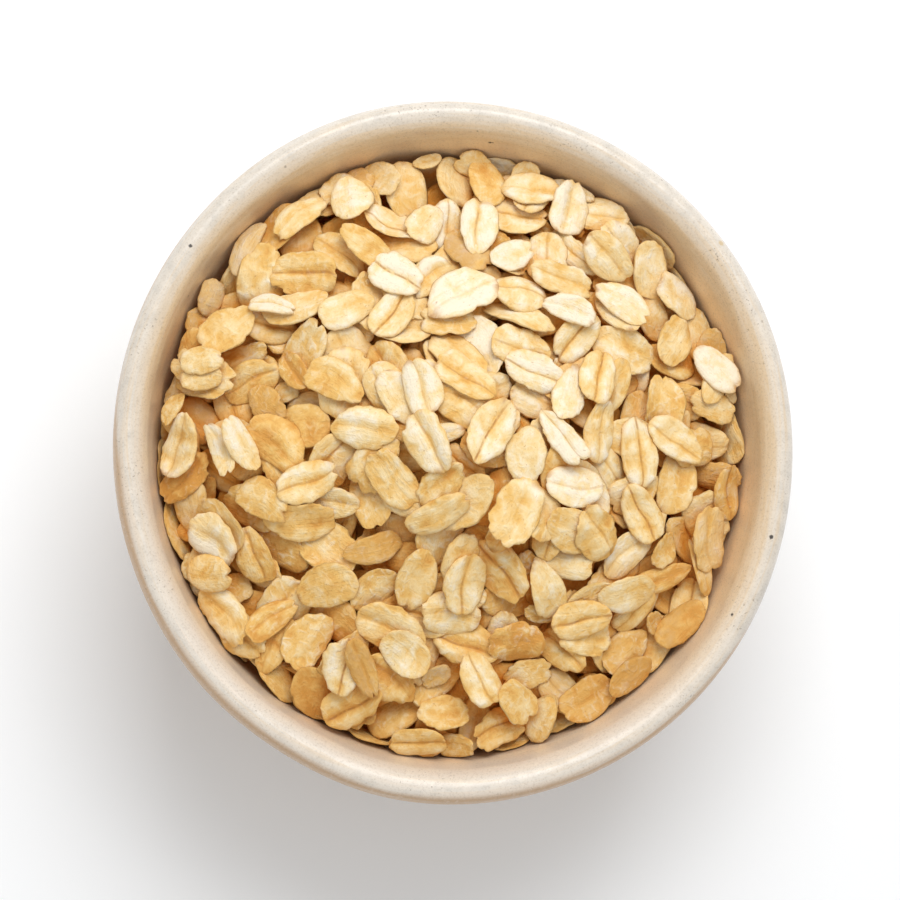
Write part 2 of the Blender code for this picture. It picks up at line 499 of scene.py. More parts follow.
def ellipse_arc(centre: tuple, size: tuple, start: float, end: float, count: int) -> np.ndarray:
    """Points of an ellipse between two directions.

    Args:
        centre: Its middle as radius and height.
        size: Its half axes outwards and upwards.
        start: The first point's direction in degrees, 0 being down and 90 outwards.
        end: The last point's direction.
        count: How many points.

    Returns:
        Rows of radius and height.
    """
    turn = np.radians(np.linspace(start, end, count))
    return np.stack([centre[0] + size[0] * np.sin(turn), centre[1] - size[1] * np.cos(turn)], 1)


def run_lengths(line: np.ndarray) -> np.ndarray:
    """How far along a line of points each point lies."""
    return np.concatenate([[0.0], np.cumsum(np.linalg.norm(np.diff(line, axis=0), axis=1))])


@dataclass
class Bowl:
    """The thrown bowl. Its section is the CAD bowl's, with throwing rings and a softer foot."""

    height: float
    rim_radius: float
    oval: float = 0.017
    foot_radius: float = 31.5
    foot_width: float = 5.0
    foot_height: float = 4.0
    recess: float = 3.4  # the height of the hollow inside the foot ring
    recess_round: float = 0.8
    base: float = 5.0
    dish: float = 0.8  # how far the inside sinks towards its middle
    lip_height: float = 3.25
    lip_outer: float = 2.3
    lip_inner: float = 3.9
    inner_arc: float = 50.0  # degrees through which the inside turns from level
    outer_arc: float = 62.0
    belly_start: float = 8.0  # degrees, the belly's direction at the foot
    flat_radius: float = 26.5
    edge_round: float = 1.0
    corner_round: float = 1.7  # how far the average reaches that rounds the corner under the lip
    corner_reach: float = 3.2  # how far along the section that average is felt
    waves: tuple = ((3, 0.0022, 15.0), (5, 0.0016, 33.0))  # lobes, share, direction in degrees
    dent: tuple[float, float, float] = (0.6, 240.0, 14.0)  # depth, direction and spread in degrees
    crest_waves: tuple = ((2, 0.22, 0.7), (3, 0.14, 2.0))  # lobes, height, phase in radians
    crest_from: float = 40.0  # the height where the crest's waves begin
    ring_depth: float = 0.03
    ring_pitch: float = 3.4
    steps: int = 300

    @property
    def wall_top(self) -> float:
        """The height where the wall ends and the lip begins."""
        return self.height - self.lip_height

    @property
    def floor(self) -> float:
        """The height of the inside's flat middle, before it is dished."""
        return self.recess + self.base

    @property
    def crest_radius(self) -> float:
        """The radius of the lip's crest."""
        return self.rim_radius - self.lip_outer

    @property
    def inner_size(self) -> tuple[float, float]:
        """The half axes of the ellipse that the inside follows through its arc."""
        arc = math.radians(self.inner_arc)
        reach = self.crest_radius - self.lip_inner - self.flat_radius
        return reach / math.sin(arc), (self.wall_top - self.floor) / (1 - math.cos(arc))

    @property
    def outer_size(self) -> tuple[float, float]:
        """The half axes of the ellipse that the belly follows through its arc."""
        arc = math.radians(self.outer_arc)
        return (
            (self.rim_radius - self.foot_radius) / math.sin(arc),
            (self.wall_top - self.foot_height) / (1 - math.cos(arc)),
        )

    def section(self) -> np.ndarray:
        """The closed section, from the middle of the inside over the lip to the middle of the
        underside: straight runs, arcs of ellipses and rounded edges. A moving average rounds the
        corner between the wall and the lip.

        Returns:
            Rows of radius and height in millimetres.
        """
        inside = np.linspace((0.0, self.floor), (self.flat_radius, self.floor), 14)
        inside[:, 1] -= self.dish * (0.5 + 0.5 * np.cos(np.pi * inside[:, 0] / self.flat_radius))
        middle = (self.flat_radius, self.floor + self.inner_size[1])
        wall = ellipse_arc(middle, self.inner_size, 0, self.inner_arc, 86)
        crest = (self.crest_radius, self.wall_top)
        lip_in = ellipse_arc(crest, (self.lip_inner, self.lip_height), -90, -180, 19)
        lip_out = ellipse_arc(crest, (self.lip_outer, self.lip_height), 180, 90, 19)
        middle = (self.foot_radius, self.foot_height + self.outer_size[1])
        belly = ellipse_arc(middle, self.outer_size, self.outer_arc, self.belly_start, 52)
        r, e, h = self.foot_radius, self.edge_round, self.recess_round
        foot = np.array([(r, self.foot_height - 0.2), (r, self.foot_height * 0.5)])
        edge = ellipse_arc((r - e, e), (e, e), 90, 0, 6)
        back = r - self.foot_width
        back_edge = ellipse_arc((back + e, e), (e, e), 0, -90, 6)
        rise = np.linspace((back, e), (back, self.recess - h), 3)
        hollow = ellipse_arc((back - h, self.recess - h), (h, h), 90, 180, 5)
        under = np.linspace((back - h, self.recess), (0.0, self.recess), 9)
        parts = [inside, wall[1:], lip_in[1:], lip_out[1:], belly[1:], foot, edge, back_edge]
        line = np.concatenate([*parts, rise[1:], hollow[1:], under[1:]])

        along = run_lengths(line)
        corner = along[len(inside) + len(wall) - 2]
        share = np.clip(1.4 - np.abs(along - corner) / self.corner_reach, 0.0, 1.0)
        nearby = along[:, None] + self.corner_round * np.linspace(-1, 1, 9)
        mean = np.stack([np.interp(nearby, along, part).mean(1) for part in line.T], 1)
        return line + share[:, None] * (mean - line)

    def swell(self, turn: np.ndarray) -> np.ndarray:
        """The share by which the radius grows in a direction at the rim: the oval, the waves and
        the dent.

        Args:
            turn: Directions in radians.

        Returns:
            The share for each direction.
        """
        total = -self.oval * np.cos(2 * turn)
        for lobes, share, direction in self.waves:
            total = total + share * np.cos(lobes * (turn - math.radians(direction)))
        depth, direction, spread = self.dent
        off = np.degrees(np.angle(np.exp(1j * (turn - math.radians(direction)))))
        return total - depth / self.rim_radius * np.exp(-((off / spread) ** 2))

    def grown(self, turn: np.ndarray, height: np.ndarray) -> np.ndarray:
        """The factor on the radius: the swell, which grows from nothing at the foot to its full size
        at the rim."""
        return 1 + np.clip(height / self.height, 0, 1) * self.swell(turn)

    def inner_radius(self, turn: np.ndarray, height: np.ndarray) -> np.ndarray:
        """The radius of the inside at a height and direction: the inside's arc of an ellipse, and
        the lip's inner half above it, swollen as the plan is.

        Args:
            turn: Directions in radians.
            height: Heights in millimetres.

        Returns:
            Radii in millimetres.
        """
        reach, depth = self.inner_size
        most = 1 - math.cos(math.radians(self.inner_arc))
        rise = np.clip((height - self.floor) / depth, 0.0, most)
        below = self.flat_radius + reach * np.sqrt(1 - (1 - rise) ** 2)
        up = np.clip((height - self.wall_top) / self.lip_height, 0.0, 1.0)
        above = self.crest_radius - self.lip_inner * np.sqrt(1 - up**2)
        return np.where(height < self.wall_top, below, above) * self.grown(turn, height)

    def surface(self, line: np.ndarray, along: np.ndarray, turn: np.ndarray) -> np.ndarray:
        """Carries the section round Z and moves it to the oval plan, with throwing rings.

        The rings are a spiral wave on the section's normal, which climbs one pitch in a turn and
        fades towards the foot. The crest rises and falls in waves round the bowl.

        Args:
            line: The section.
            along: How far along it each of its points lies.
            turn: The directions of the points round Z.

        Returns:
            Rows of x, y, z, ring after ring, without the section's two end points.
        """
        tangent = np.gradient(line, axis=0)
        tangent /= np.maximum(np.linalg.norm(tangent, axis=1), 1e-9)[:, None]
        normal = np.stack([-tangent[:, 1], tangent[:, 0]], 1)[1:-1, :, None]
        inner = line[1:-1, :, None]
        run = along[1:-1, None]
        spiral = 2 * np.pi * run / self.ring_pitch - turn[None]
        soft = smooth_noise(2.2 * np.cos(turn)[None], 2.2 * np.sin(turn)[None], run / 5.0, 11)
        calm = np.clip((inner[:, 1] - 6.0) / 8.0, 0, 1)
        push = calm * self.ring_depth * (np.sin(spiral) * (0.5 + 0.5 * soft) + 1.3 * soft)
        radius = inner[:, 0] + push * normal[:, 0]
        height = inner[:, 1] + push * normal[:, 1]
        lift = sum(size * np.sin(lobes * turn + phase) for lobes, size, phase in self.crest_waves)
        span = self.height - self.crest_from
        height = height + lift[None] * np.clip((height - self.crest_from) / span, 0, 1)
        radius = radius * self.grown(turn[None], height)
        return np.stack([radius * np.cos(turn)[None], radius * np.sin(turn)[None], height], 2).reshape(-1, 3)

    def unrolled(self, share: np.ndarray, course: np.ndarray, triangles: np.ndarray) -> np.ndarray:
        """The bowl's skin laid flat: the turn runs to the right and the section upwards.

        Args:
            share: Each point's share of the section's length. The last two are the poles.
            course: Each point's share of a turn.
            triangles: Rows of three point numbers.

        Returns:
            A row of u, v for each corner. A triangle over the seam runs past 1, and a pole takes
            the mean turn of its triangle.
        """
        u = course[triangles]
        wraps = (u.max(1) - u.min(1)) > 0.5
        u[wraps] = np.where(u[wraps] < 0.5, u[wraps] + 1.0, u[wraps])
        pole = triangles >= len(share) - 2
        u = np.where(pole, (u.sum(1) - np.where(pole, u, 0).sum(1))[:, None] / 2, u)
        return np.stack([u, share[triangles]], 2).reshape(-1, 2) * 0.998 + 0.001

    def build(self, glaze: StonewareGlaze, specks: list[IronSpeck]) -> bpy.types.Object:
        """Makes the bowl, one closed surface with a pole in the middle of each side.

        Args:
            glaze: The finish.
            specks: The iron specks in the glaze.

        Returns:
            The piece.
        """
        line = self.section()
        along = run_lengths(line)
        turn = np.linspace(0.0, 2 * np.pi, self.steps, endpoint=False)
        rings = len(line) - 2
        poles = [(0, 0, line[0, 1]), (0, 0, line[-1, 1])]
        points = np.concatenate([self.surface(line, along, turn), poles])
        last = (rings - 1) * self.steps
        top, bottom = len(points) - 2, len(points) - 1
        caps = [fan(top, 0, self.steps), fan(bottom, last, self.steps, under=True)]
        triangles = np.concatenate([halved(ring_squares(rings, self.steps)), *caps])
        made = mesh_object("glazed_bowl", points, triangles, "root", glaze.material(specks))

        def on_points(values: np.ndarray) -> np.ndarray:
            """The section's values, repeated round each ring, and the two poles' values."""
            return np.concatenate([np.repeat(values[1:-1], self.steps), values[[0, -1]]])

        add_number(made.data, "from_crest", on_points(along - along[np.argmax(line[:, 1])]))
        course = np.concatenate([np.tile(turn / (2 * np.pi), rings), (0.0, 0.0)])
        add_uv(made.data, "OFBake", self.unrolled(on_points(along / along[-1]), course, triangles))
        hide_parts("bowl")
        return made


# ------------------------------------------------------------------------------ the flakes


class FlakeKind(Enum):
    """The kinds of flake. Each becomes one piece."""

    CREASED = "creased_flakes"
    SMOOTH = "smooth_flakes"
    RUMPLED = "rumpled_flakes"
    CURLED = "curled_flakes"
    SLENDER = "slender_flakes"
    BROKEN = "broken_flakes"
    UNDER = "under_flakes"


@dataclass(frozen=True)
class KindRange:
    """The least and greatest of one kind's measures. Lengths are millimetres."""

    length: tuple[float, float]
    slim: tuple[float, float]
    thick: tuple[float, float]
    crease: tuple[float, float]
    lobe: tuple[float, float]
    bend: tuple[float, float]
    cup: tuple[float, float]
    ragged: tuple[float, float]
    wrinkle: tuple[float, float]


RANGES = {
    FlakeKind.CREASED: KindRange((10.2, 13.0), (0.60, 0.73), (0.45, 0.70), (0.18, 0.45), (0.08, 0.30),
                                 (-0.022, 0.022), (-0.050, 0.025), (0.03, 0.07), (0.08, 0.18)),
    FlakeKind.SMOOTH: KindRange((9.4, 12.4), (0.58, 0.74), (0.42, 0.68), (0.00, 0.12), (0.00, 0.10),
                                (-0.030, 0.015), (-0.060, 0.010), (0.03, 0.06), (0.04, 0.11)),
    FlakeKind.RUMPLED: KindRange((9.8, 13.0), (0.60, 0.76), (0.42, 0.68), (0.06, 0.30), (0.04, 0.18),
                                 (-0.030, 0.030), (-0.060, 0.050), (0.04, 0.09), (0.15, 0.28)),
    FlakeKind.CURLED: KindRange((9.0, 12.2), (0.54, 0.70), (0.42, 0.65), (0.04, 0.35), (0.04, 0.22),
                                (-0.055, 0.055), (-0.110, 0.110), (0.03, 0.08), (0.08, 0.20)),
    FlakeKind.SLENDER: KindRange((9.0, 12.6), (0.38, 0.52), (0.50, 0.80), (0.00, 0.30), (0.00, 0.20),
                                 (-0.035, 0.035), (-0.080, 0.040), (0.03, 0.07), (0.06, 0.15)),
    FlakeKind.BROKEN: KindRange((4.6, 8.4), (0.52, 0.88), (0.42, 0.70), (0.00, 0.12), (0.00, 0.08),
                                (-0.05, 0.05), (-0.08, 0.06), (0.05, 0.11), (0.03, 0.09)),
    FlakeKind.UNDER: KindRange((8.0, 12.0), (0.58, 0.78), (0.7, 1.0), (0.05, 0.35), (0.04, 0.20),
                               (-0.03, 0.02), (-0.04, 0.02), (0.03, 0.06), (0.05, 0.12)),
}

END_SPREAD = 0.50  # radians over which a flake's end is drawn out or pressed in
SPLIT_SPREAD = 0.12
NOTCH_SPREAD = 0.13
RIPPLES = ((1.5, 1.4, 3), (3.6, 1.0, 4), (8.0, 0.75, 9))  # times round, share of ragged, seed
GROOVE_WIDTH = 0.10  # of half a flake's width, as the three below
RIDGE_WIDTH = 0.22
PILLOW_PLACE = 0.46
PILLOW_WIDTH = 0.27


def bell(offset: np.ndarray) -> np.ndarray:
    """A Gaussian, 1 at nought."""
    return np.exp(-(offset**2))


def disc_places(s: np.ndarray, r: np.ndarray) -> tuple[np.ndarray, np.ndarray]:
    """A square from -1 to 1 drawn into a disc: x = s sqrt(1 - r^2/2) and y = r sqrt(1 - s^2/2)."""
    return s * np.sqrt(1 - r**2 / 2), r * np.sqrt(1 - s**2 / 2)


@dataclass
class FlakeBatch:
    """Many flakes of one kind, each row of every array being one flake. Sizes are millimetres.

    A flake is a disc drawn out into an oval, and its upper and lower skins meet at its edge.
    """

    kind: FlakeKind
    count: int
    seed: int
    numbers: dict[str, np.ndarray] = field(default_factory=dict)

    def __post_init__(self) -> None:
        """Draws every flake's numbers from its kind's ranges."""
        draw = np.random.default_rng(self.seed)
        many = self.count
        r = RANGES[self.kind]

        def pick(span: tuple[float, float]) -> np.ndarray:
            """A number in a range for each flake."""
            return draw.uniform(span[0], span[1], many)

        def some(share: float, low: float, high: float) -> np.ndarray:
            """A number in a range for a share of the flakes, and nought for the others."""
            return np.where(draw.random(many) < share, draw.uniform(low, high, many), 0.0)

        n = self.numbers
        n["length"] = pick(r.length)
        n["width"] = n["length"] * pick(r.slim)
        for name in ("thick", "crease", "lobe", "bend", "cup", "ragged", "wrinkle"):
            n[name] = pick(getattr(r, name))
        n["twist"] = draw.normal(0.0, 0.013, many)
        n["warp"] = pick((0.20, 0.65))
        n["front"] = pick((-0.05, 0.10))
        n["back"] = pick((-0.06, 0.06))
        n["blunt"] = pick((-0.015, 0.030))
        n["egg"] = pick((-0.16, 0.16))
        n["bow"] = draw.normal(0.0, 0.035, many)
        n["split"] = some(0.35, 0.06, 0.22)
        n["notch"] = some(0.6, 0.04, 0.16)
        n["notch_at"] = pick((0.4, 2.7)) * draw.choice([-1, 1], many)
        n["uneven"] = pick((-0.55, 0.55))
        n["drift"] = pick((-0.20, 0.20))
        n["slant"] = pick((-0.14, 0.14))
        n["dice"] = pick((0.0, 40.0))
        n["tone"] = np.clip(draw.normal(0.50, 0.17, many), 0.0, 1.0)
        n["toast_and_shade"] = some(0.05, 0.3, 0.7)
        n["flour"] = pick((0.0, 1.0))

    @staticmethod
    def edge(n: dict[str, np.ndarray], turn: np.ndarray) -> np.ndarray:
        """How far the edge is moved out in a direction, as a share of its distance: the drawn out
        or pressed in ends, blunt corners, the split tip of the crease, a notch and ripples.

        Args:
            n: The flakes' numbers.
            turn: Directions in radians from the flake's front.

        Returns:
            The share for each flake and direction.
        """
        behind = np.pi - np.abs(turn)
        moved = n["front"] * bell(turn / END_SPREAD) + n["back"] * bell(behind / END_SPREAD)
        moved = moved - n["blunt"] * np.cos(4 * turn)
        moved = moved - n["split"] * bell((turn - n["slant"]) / SPLIT_SPREAD)
        moved = moved - n["notch"] * bell((turn - n["notch_at"]) / NOTCH_SPREAD)
        dice = n["dice"]
        for times, share, seed in RIPPLES:
            ripple = smooth_noise(times * np.cos(turn) + dice, times * np.sin(turn), dice * 0.37, seed)
            moved = moved + share * n["ragged"] * ripple
        return moved

    def skins(self, s: np.ndarray, r: np.ndarray) -> tuple[np.ndarray, np.ndarray, np.ndarray, np.ndarray]:
        """The upper and the lower skin of every flake, at places of a square from -1 to 1.

        The square becomes a disc, whose edge is moved and which is drawn out into an oval. The
        thickness falls off near the edge as sqrt(1 - d^12), d being the distance from the middle.
        Two pillows lie beside the crease, a Gaussian groove along y = 0 that a sideways shift of
        the middle moves off the flake's axis. The whole is bent, cupped, twisted and warped by
        noise.

        Args:
            s: Places along the flake, as an array of any shape.
            r: Places across it, of the same shape.

        Returns:
            The two skins, each of the shape (count, *s.shape, 3), and how far each is raised there.
        """
        lift = (slice(None),) + (None,) * s.ndim
        n = {name: values[lift] for name, values in self.numbers.items()}
        dice = n["dice"]
        x0, y0 = (place[None] for place in disc_places(s, r))
        d = np.clip(np.hypot(x0, y0), 0.0, 1.0)
        grow = 1 + self.edge(n, np.arctan2(y0, x0)) * d**3
        x1, y1 = x0 * grow, y0 * grow * (1 + n["egg"] * x0)
        aside = n["drift"] + n["slant"] * x0 + 0.05 * np.sin(4 * x0 + dice)
        x = x1 * n["length"] / 2
        y = (y1 + aside * (1 - d**2)) * n["width"] / 2 + n["bow"] * n["length"] * (x1**2 - 0.3)

        rounding = np.sqrt(np.clip(1 - d**12, 0.0, 1.0))
        fade = np.clip(1 - x0**4, 0.0, 1.0)
        broad = smooth_noise(x / 3.0 + dice, y / 2.4, dice, 7)
        ribs = smooth_noise(x / 1.4 + dice, y / 3.2, dice, 5)
        ribs = ribs + 0.8 * smooth_noise(x / 1.3, y / 1.2 + dice, dice, 6)
        groove = n["crease"] * bell(y0 / GROOVE_WIDTH) * fade * (0.8 + 0.4 * broad)
        pillow = n["lobe"] * bell((np.abs(y0) - PILLOW_PLACE) / PILLOW_WIDTH) * np.sqrt(fade)
        pillow = pillow * (1 + n["uneven"] * np.tanh(5 * y0)) * (1 + 0.35 * broad)
        front = pillow - groove + n["wrinkle"] * ribs + 0.20 * broad
        other = smooth_noise(x / 3.6, y / 1.5 + dice, dice, 15)
        other = other + 0.5 * smooth_noise(x / 1.5, y / 1.4, dice, 16)
        ridge = 0.25 * n["crease"] * bell(y0 / RIDGE_WIDTH) * fade
        back = ridge + 1.1 * n["wrinkle"] * other - 0.12 * broad

        body = n["thick"] / 2 * rounding
        middle = n["bend"] * x**2 + n["cup"] * y**2 + n["twist"] * x * y
        middle = middle + n["warp"] * smooth_noise(x / 4.2, y / 4.2 + dice, dice, 8)
        middle = middle - middle.mean(axis=tuple(range(1, middle.ndim)), keepdims=True)
        x, y, front, back = (np.broadcast_to(part, middle.shape) for part in (x, y, front, back))
        upper = np.stack([x, y, middle + body + rounding * front], -1)
        lower = np.stack([x, y, middle - 0.9 * body - rounding * back], -1)
        return upper, lower, front, back


@dataclass(frozen=True)
class ChosenFlake:
    """A flake that lies in a set place on top of the heap. Lengths are millimetres.

    Attributes:
        x: Its middle's place along X.
        y: Its middle's place along Y.
        yaw: Its direction, in degrees from +X.
        length: Its length.
        width: Its width.
        kind: Its kind.
        tone: From 0, gold, to 1, cream.
        toast_and_shade: How toasted it is.
    """

    x: float
    y: float
    yaw: float
    length: float
    width: float
    kind: FlakeKind
    tone: float
    toast_and_shade: float = 0.0


CHOSEN = [
    ChosenFlake(0.5, 12.0, -33, 13.0, 7.5, FlakeKind.CREASED, 0.45),
    ChosenFlake(-11.5, 8.5, -60, 10.5, 7.0, FlakeKind.SMOOTH, 0.85),
    ChosenFlake(-7.5, 10.0, 108, 11.0, 7.0, FlakeKind.CREASED, 0.8),
    ChosenFlake(-17.5, 3.0, -8, 12.0, 7.8, FlakeKind.CREASED, 0.6),
    ChosenFlake(-12.5, -6.0, -52, 13.0, 7.5, FlakeKind.RUMPLED, 0.5),
    ChosenFlake(-4.0, -7.0, 42, 11.0, 6.3, FlakeKind.RUMPLED, 0.35),
    ChosenFlake(-4.5, -12.5, 30, 13.0, 5.8, FlakeKind.SLENDER, 0.6),
    ChosenFlake(-6.5, 0.0, -62, 12.0, 7.6, FlakeKind.CREASED, 0.6),
    ChosenFlake(4.5, 2.0, 57, 12.8, 8.0, FlakeKind.CREASED, 0.75),
    ChosenFlake(9.5, -12.0, 60, 13.4, 9.0, FlakeKind.RUMPLED, 0.55),
    ChosenFlake(13.0, 13.5, -20, 11.5, 7.0, FlakeKind.CREASED, 0.85),
    ChosenFlake(-51.0, 7.0, 60, 6.6, 3.8, FlakeKind.BROKEN, 0.5),
    ChosenFlake(-46.0, 12.5, 5, 8.0, 5.0, FlakeKind.SMOOTH, 0.7),
    ChosenFlake(-46.0, 15.5, 5, 8.4, 5.4, FlakeKind.SMOOTH, 0.65),
    ChosenFlake(-35.0, -9.5, -30, 10.5, 7.0, FlakeKind.SMOOTH, 0.5),
    ChosenFlake(-32.5, 0.5, -40, 13.0, 8.5, FlakeKind.RUMPLED, 0.2),
    ChosenFlake(-42.5, -0.5, -65, 11.0, 4.6, FlakeKind.SLENDER, 0.95),
    ChosenFlake(-39.0, 0.5, -60, 10.5, 5.0, FlakeKind.SLENDER, 0.9),
    ChosenFlake(-27.5, -6.5, 20, 12.0, 7.4, FlakeKind.CREASED, 0.6),
    ChosenFlake(-43.5, -16.5, -40, 10.8, 8.3, FlakeKind.CREASED, 1.0),
    ChosenFlake(-22.5, 11.5, -30, 11.5, 7.2, FlakeKind.SMOOTH, 0.45),
    ChosenFlake(48.0, 15.5, -45, 10.5, 6.4, FlakeKind.SMOOTH, 0.9),
    ChosenFlake(20.5, -7.0, 0, 11.4, 8.0, FlakeKind.CREASED, 1.0),
    ChosenFlake(25.5, 3.0, 80, 12.0, 7.2, FlakeKind.CREASED, 0.6),
    ChosenFlake(33.0, -1.0, 95, 13.0, 7.0, FlakeKind.CREASED, 0.6),
    ChosenFlake(18.0, 1.5, -50, 12.0, 5.4, FlakeKind.SLENDER, 0.95),
    ChosenFlake(19.5, 9.5, 70, 10.8, 6.4, FlakeKind.SMOOTH, 0.9),
    ChosenFlake(25.0, 13.0, 72, 12.0, 7.0, FlakeKind.CREASED, 0.5),
    ChosenFlake(40.0, 2.0, -30, 12.0, 7.0, FlakeKind.RUMPLED, 0.6),
    ChosenFlake(33.5, -11.5, -60, 12.0, 7.0, FlakeKind.CREASED, 0.55),
    ChosenFlake(24.5, -15.0, -50, 11.5, 8.6, FlakeKind.RUMPLED, 0.5),
    ChosenFlake(-41.5, -30.0, -45, 13.0, 8.0, FlakeKind.RUMPLED, 0.85),
    ChosenFlake(-33.0, -30.5, 35, 11.0, 5.4, FlakeKind.SLENDER, 0.3),
    ChosenFlake(-20.5, -39.0, 80, 11.0, 7.6, FlakeKind.CREASED, 0.8),
    ChosenFlake(-17.0, -39.5, -65, 12.0, 4.8, FlakeKind.SLENDER, 0.4, 0.7),
    ChosenFlake(-44.0, -22.5, 0, 9.0, 7.0, FlakeKind.SMOOTH, 0.55),
    ChosenFlake(-19.0, 45.5, 100, 9.4, 8.0, FlakeKind.SMOOTH, 0.7),
    ChosenFlake(-5.5, 41.0, 50, 8.8, 6.5, FlakeKind.SMOOTH, 0.7),
    ChosenFlake(-28.5, 42.0, 42, 12.4, 5.4, FlakeKind.SLENDER, 0.45),
    ChosenFlake(-33.5, 25.5, -15, 9.0, 4.2, FlakeKind.SLENDER, 0.95),
    ChosenFlake(-20.5, 24.5, 25, 10.5, 7.0, FlakeKind.SMOOTH, 0.75),
    ChosenFlake(-12.0, 24.0, 55, 11.0, 7.0, FlakeKind.CREASED, 0.55),
    ChosenFlake(-11.5, 31.0, -35, 10.5, 7.8, FlakeKind.CREASED, 1.0),
    ChosenFlake(14.0, 48.0, -5, 11.0, 7.2, FlakeKind.CREASED, 0.5),
    ChosenFlake(21.0, 44.5, 75, 10.5, 7.7, FlakeKind.CREASED, 0.7),
    ChosenFlake(27.5, 35.0, -45, 11.4, 7.5, FlakeKind.CREASED, 0.55),
    ChosenFlake(4.0, 40.5, 85, 11.6, 7.2, FlakeKind.CREASED, 0.85),
    ChosenFlake(19.0, 30.5, -15, 12.8, 6.6, FlakeKind.RUMPLED, 0.4),
    ChosenFlake(9.5, 35.0, 25, 9.0, 6.0, FlakeKind.SMOOTH, 0.95),
    ChosenFlake(20.0, 25.0, -20, 10.0, 5.2, FlakeKind.SLENDER, 0.95),
    ChosenFlake(0.5, 27.5, 30, 13.5, 9.6, FlakeKind.CREASED, 0.9),
    ChosenFlake(30.0, 27.0, -35, 11.0, 6.4, FlakeKind.SMOOTH, 0.9),
    ChosenFlake(42.0, -31.5, 40, 11.6, 6.0, FlakeKind.SLENDER, 0.3, 0.7),
    ChosenFlake(30.5, -26.0, 10, 11.2, 7.2, FlakeKind.SMOOTH, 0.8),
    ChosenFlake(22.5, -30.5, 10, 11.0, 7.4, FlakeKind.CREASED, 0.6),
    ChosenFlake(1.0, -24.5, 85, 11.4, 8.0, FlakeKind.CREASED, 0.6),
    ChosenFlake(-9.5, -36.5, -45, 10.4, 7.4, FlakeKind.SMOOTH, 0.85),
    ChosenFlake(-6.5, -52.5, 5, 11.0, 6.4, FlakeKind.CREASED, 0.6),
]


@dataclass
class FlakeGrid:
    """The mesh of one flake: an upper and a lower grid of square places that share their edge."""

    along: np.ndarray
    across: np.ndarray

    @classmethod
    def of(cls, lengthways: int, side: list[float]) -> "FlakeGrid":
        """A grid whose places along the flake lie closer together at its ends, as a sine's do.

        Args:
            lengthways: How many places there are along the flake.
            side: The places across one half of it, from its middle to its edge.

        Returns:
            The grid.
        """
        half = np.array(side)
        return cls(np.sin(np.pi / 2 * np.linspace(-1, 1, lengthways)), np.concatenate([-half[:0:-1], half]))

    @classmethod
    def fine(cls) -> "FlakeGrid":
        """The grid of a flake that shows, closer at its edge and at its crease."""
        return cls.of(21, [0.0, 0.10, 0.22, 0.38, 0.58, 0.78, 0.93, 1.0])

    @classmethod
    def coarse(cls) -> "FlakeGrid":
        """The grid of a flake that lies under others."""
        return cls.of(10, [0.0, 0.30, 0.66, 0.93, 1.0])

    def places(self) -> tuple[np.ndarray, np.ndarray]:
        """The grid's places along and across, each as a square array."""
        return tuple(np.meshgrid(self.along, self.across, indexing="ij"))

    def corners(self) -> tuple[np.ndarray, np.ndarray, np.ndarray]:
        """The faces of one flake.

        Returns:
            The faces, the places of the lower skin's own vertices among the grid's, and for each
            face whether it is on the upper skin.
        """
        rows, columns = len(self.along), len(self.across)
        number = np.arange(rows * columns).reshape(rows, columns)
        inside = np.zeros((rows, columns), bool)
        inside[1:-1, 1:-1] = True
        own = np.flatnonzero(inside)
        lower = number.copy()
        lower[inside] = rows * columns + np.arange(len(own))

        def squares(grid: np.ndarray) -> np.ndarray:
            """The grid's squares, anticlockwise seen from above."""
            ring = [grid[:-1, :-1], grid[1:, :-1], grid[1:, 1:], grid[:-1, 1:]]
            return np.stack([corner.ravel() for corner in ring], 1)

        top, bottom = squares(number), squares(lower)[:, ::-1]
        up = np.concatenate([np.ones(len(top), bool), np.zeros(len(bottom), bool)])
        return np.concatenate([top, bottom]), own, up


# ------------------------------------------------------------------------------ the heap


@dataclass
class HeightField:
    """The height of what has been laid so far, on a square grid over the bowl, in millimetres."""

    half: float
    cell: float
    height: np.ndarray

    def index(self, x: np.ndarray, y: np.ndarray) -> tuple[np.ndarray, np.ndarray]:
        """The cell that holds each place."""
        most = self.height.shape[0] - 1
        column = np.clip(((x + self.half) / self.cell).round().astype(int), 0, most)
        row = np.clip(((y + self.half) / self.cell).round().astype(int), 0, most)
        return row, column

    def at(self, x: np.ndarray, y: np.ndarray) -> np.ndarray:
        """The height at each place."""
        return self.height[self.index(x, y)]

    def lay(self, points: np.ndarray) -> None:
        """Raises each cell to the highest point given in it."""
        np.maximum.at(self.height, self.index(points[:, 0], points[:, 1]), points[:, 2])

    def blurred(self, reach: int) -> "HeightField":
        """The same field averaged over a square of cells, by sums run along each axis.

        Args:
            reach: How many cells the square reaches to each side.

        Returns:
            The averaged field.
        """
        soft = self.height
        for axis in (0, 1):
            padded = np.pad(soft, [(reach + 1, reach) if a == axis else (0, 0) for a in (0, 1)], "edge")
            run = np.cumsum(padded, axis=axis)
            count = soft.shape[axis]
            late = np.take(run, np.arange(count) + 2 * reach + 1, axis=axis)
            soft = (late - np.take(run, np.arange(count), axis=axis)) / (2 * reach + 1)
        return HeightField(self.half, self.cell, soft)


